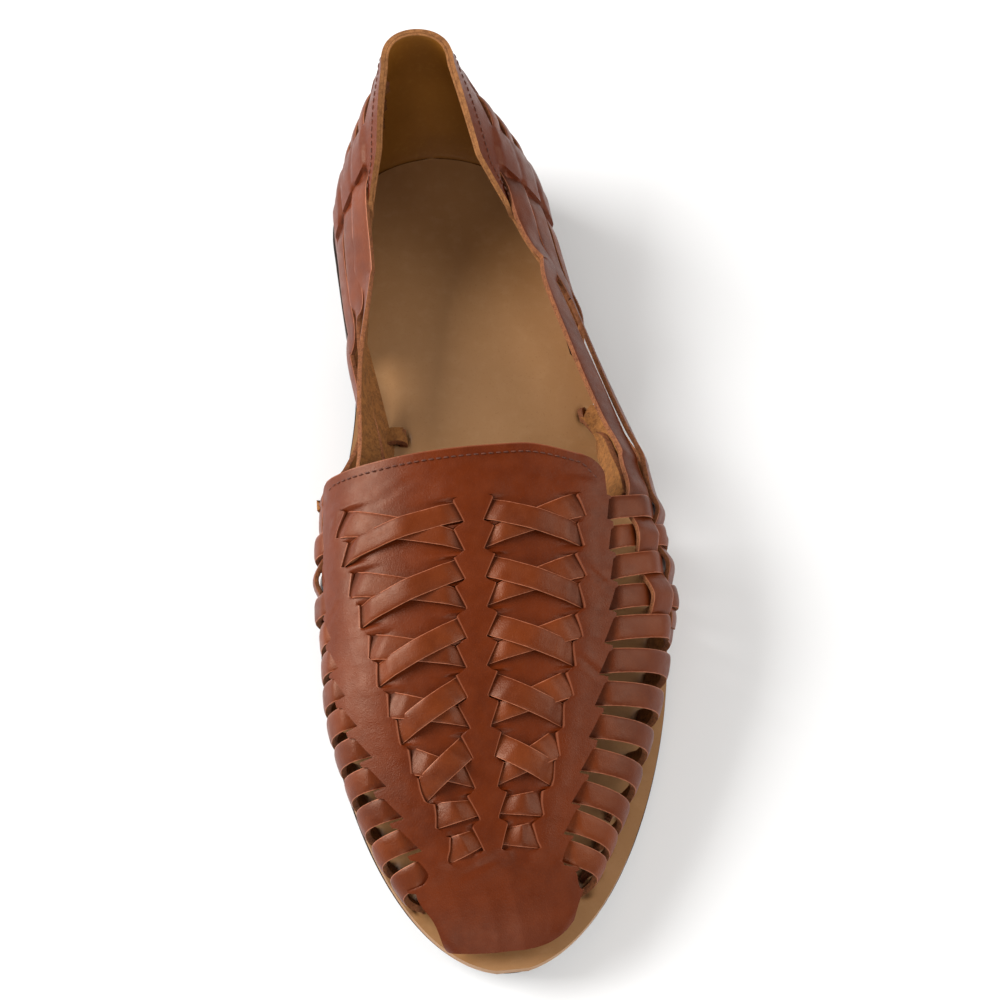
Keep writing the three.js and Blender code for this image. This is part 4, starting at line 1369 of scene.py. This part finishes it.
# %% [markdown]
# ## Lining, insole, rubber and thread
# The lining is a smooth mustard leather, the insole a paler one with pores and a soft sheen, and the sole a
# dark rubber with faint layers along its edge. The thread is twisted, so it has a fine bump only.
# %% Lining leather
lining_finish = Finish("lining leather", 0.42, IOR=1.46)
warm = lining_finish.fade(lining_finish.noise(30, 3), 0.3, 0.7)
fine = lining_finish.fade(lining_finish.noise(700, 3), 0.5, 0.8)
colour = lining_finish.mix(warm, rgb(112, 68, 16), rgb(132, 84, 26))
colour = lining_finish.mix(fine * 0.2, colour, rgb(156, 112, 54))
pebble = lining_finish.bump(lining_finish.noise(900, 3), 0.12, 0.2)
LINING = lining_finish.feed(Base_Color=colour, Normal=pebble)
print(LINING.name, len(LINING.node_tree.nodes), "nodes")

# %% Insole leather
insole_finish = Finish("insole leather", 0.5, IOR=1.46)
soft = insole_finish.fade(insole_finish.noise(22, 3), 0.3, 0.7)
worn = insole_finish.fade(insole_finish.noise(240, 4, 0.6), 0.45, 0.75)
pores = insole_finish.fade(insole_finish.noise(1700, 2), 0.6, 0.75)
colour = insole_finish.mix(soft, rgb(146, 104, 62), rgb(160, 118, 76))
colour = insole_finish.mix(worn * 0.22, colour, rgb(176, 136, 94))
colour = insole_finish.mix(pores * 0.25, colour, rgb(120, 80, 46))
# Painted shade in the slots where straps and laces go in.
colour = insole_finish.mix(insole_finish.mark("painted_shade") * 0.5, colour, rgb(66, 38, 18))
grain = insole_finish.cells(900) * 0.5 + insole_finish.noise(1500, 3) * 0.5
sheen = insole_finish.fade(insole_finish.noise(160, 3), 0.2, 0.8) * 0.14 + 0.42
INSOLE = insole_finish.feed(Base_Color=colour, Normal=insole_finish.bump(grain, 0.1, 0.15), Roughness=sheen)
print(INSOLE.name, len(INSOLE.node_tree.nodes), "nodes")

# %% Sole rubber and thread
rubber = Finish("dark sole", 0.6, IOR=1.45)
worn = rubber.fade(rubber.noise(120, 4, 0.6), 0.35, 0.75)
dust = rubber.fade(rubber.noise(1400, 3), 0.6, 0.8)
colour = rubber.mix(worn, rgb(34, 22, 16), rgb(54, 36, 26))
colour = rubber.mix(dust * 0.4, colour, rgb(84, 60, 44))
layers = rubber.noise(60, 3, 0.6, 0.4, (1, 1, 26))
uneven = rubber.bump(layers, 0.5, 0.35, rubber.bump(rubber.noise(1600, 3), 0.3, 0.15))
SOLE = rubber.feed(Base_Color=colour, Normal=uneven)

thread = Finish("dark thread", 0.7)
twist = thread.fade(thread.noise(1800, 2), 0.3, 0.7)
colour = thread.mix(twist, rgb(62, 24, 8), rgb(98, 46, 22))
THREAD = thread.feed(Base_Color=colour, Normal=thread.bump(thread.noise(2500, 2), 0.4, 0.1))
print(SOLE.name, THREAD.name)

# %% [markdown]
# ## Finishes on the pieces
# Each sheet has three material slots: its grain side, its flesh side and its cut edge. Each piece then hides
# the solid it stands for, and it rides on the one body of the sandal.
# %% Every piece gets its finish and its place in the model
keep(plate, "upper", "upper_leather", PLATE_LEATHER, FLESH_SIDE, PLATE_EDGE)
groups = ("cross_straps", "side_straps", "long_straps", "back_straps")
for name in [f"{group}_{word}" for group in groups for _, word in SIDES] + ["lacing_ends"]:
    keep(bpy.data.objects[name], "upper", "upper_leather", STRAP_LEATHER, FLESH_SIDE, CUT_EDGE)
keep(counter_wall, "upper", "upper_leather", PLATE_LEATHER, FLESH_SIDE, COLLAR_EDGE)
keep(lining, "upper", "upper_leather", FLESH_SIDE, LINING, COLLAR_EDGE)
for piece in (collar_seam, throat_seam):
    keep(piece, "upper", "upper_leather", THREAD)
keep(insole, "insole", "insole_leather", INSOLE, INSOLE, INSOLE)
keep(outsole, "outsole", "outsole_rubber", SOLE, SOLE, SOLE)
keep(heel, "heel", "heel_rubber", SOLE, SOLE, SOLE)
print(len(faces_made), "pieces,", sum(faces_made.values()), "faces")

# %% [markdown]
# ## Floor, light and camera
# The sandal stands on a pale floor under large soft lights, the strongest one to its inner side. The camera
# looks down from the toe end, a little to the inner side.
# %% Stage
bpy.ops.object.select_all(action="DESELECT")
bpy.ops.mesh.primitive_plane_add(size=6, location=(0, 0, 0))
floor = bpy.context.object
floor.name = "floor"
paper = Finish("pale floor", 0.9)
shade = paper.fade(paper.noise(3, 2), 0.2, 0.8)
tone = paper.mix(shade, (0.84, 0.84, 0.84, 1), (0.87, 0.87, 0.87, 1))
floor.data.materials.append(paper.feed(Base_Color=tone))

world = bpy.data.worlds.new("studio")
world.use_nodes = True
world.node_tree.nodes["Background"].inputs["Color"].default_value = (1, 0.96, 0.91, 1)
world.node_tree.nodes["Background"].inputs["Strength"].default_value = 0.3
bpy.context.scene.world = world
bpy.context.scene.view_settings.view_transform = "Standard"


def soft_light(name, place, aim, size, power):
    lamp = bpy.data.lights.new(name, "AREA")
    lamp.shape, lamp.size, lamp.size_y, lamp.energy = "RECTANGLE", size[0], size[1], power
    holder = bpy.data.objects.new(name, lamp)
    bpy.context.scene.collection.objects.link(holder)
    holder.location = place
    holder.rotation_euler = (Vector(aim) - Vector(place)).to_track_quat("-Z", "Y").to_euler()


soft_light("key", (-0.95, 0.3, 0.62), (0, -0.02, 0.02), (0.8, 0.7), 23)
soft_light("front", (-0.15, -1.2, 0.75), (0, 0, 0.02), (1.2, 0.6), 7)
soft_light("far side", (1.0, -0.1, 0.8), (0, 0, 0.02), (1.1, 0.9), 10)

# %% Camera
CAMERA_AT, CAMERA_AIM, CAMERA_ROLL, LENS = (-0.06041, -0.22361, 0.52869), (0.00706, 0.01093, 0), 10.23, 68.4
camera = bpy.data.objects.new("camera", bpy.data.cameras.new("camera"))
bpy.context.scene.collection.objects.link(camera)
camera.data.lens, camera.data.sensor_width = LENS, 36
camera.data.clip_start = 0.01
camera.location = CAMERA_AT
turn = (Vector(CAMERA_AIM) - Vector(CAMERA_AT)).to_track_quat("-Z", "Y").to_matrix()
camera.rotation_euler = (turn @ Matrix.Rotation(math.radians(CAMERA_ROLL), 3, "Z")).to_euler()
bpy.context.scene.camera = camera
print("camera height mm:", round(camera.location.z / MM))
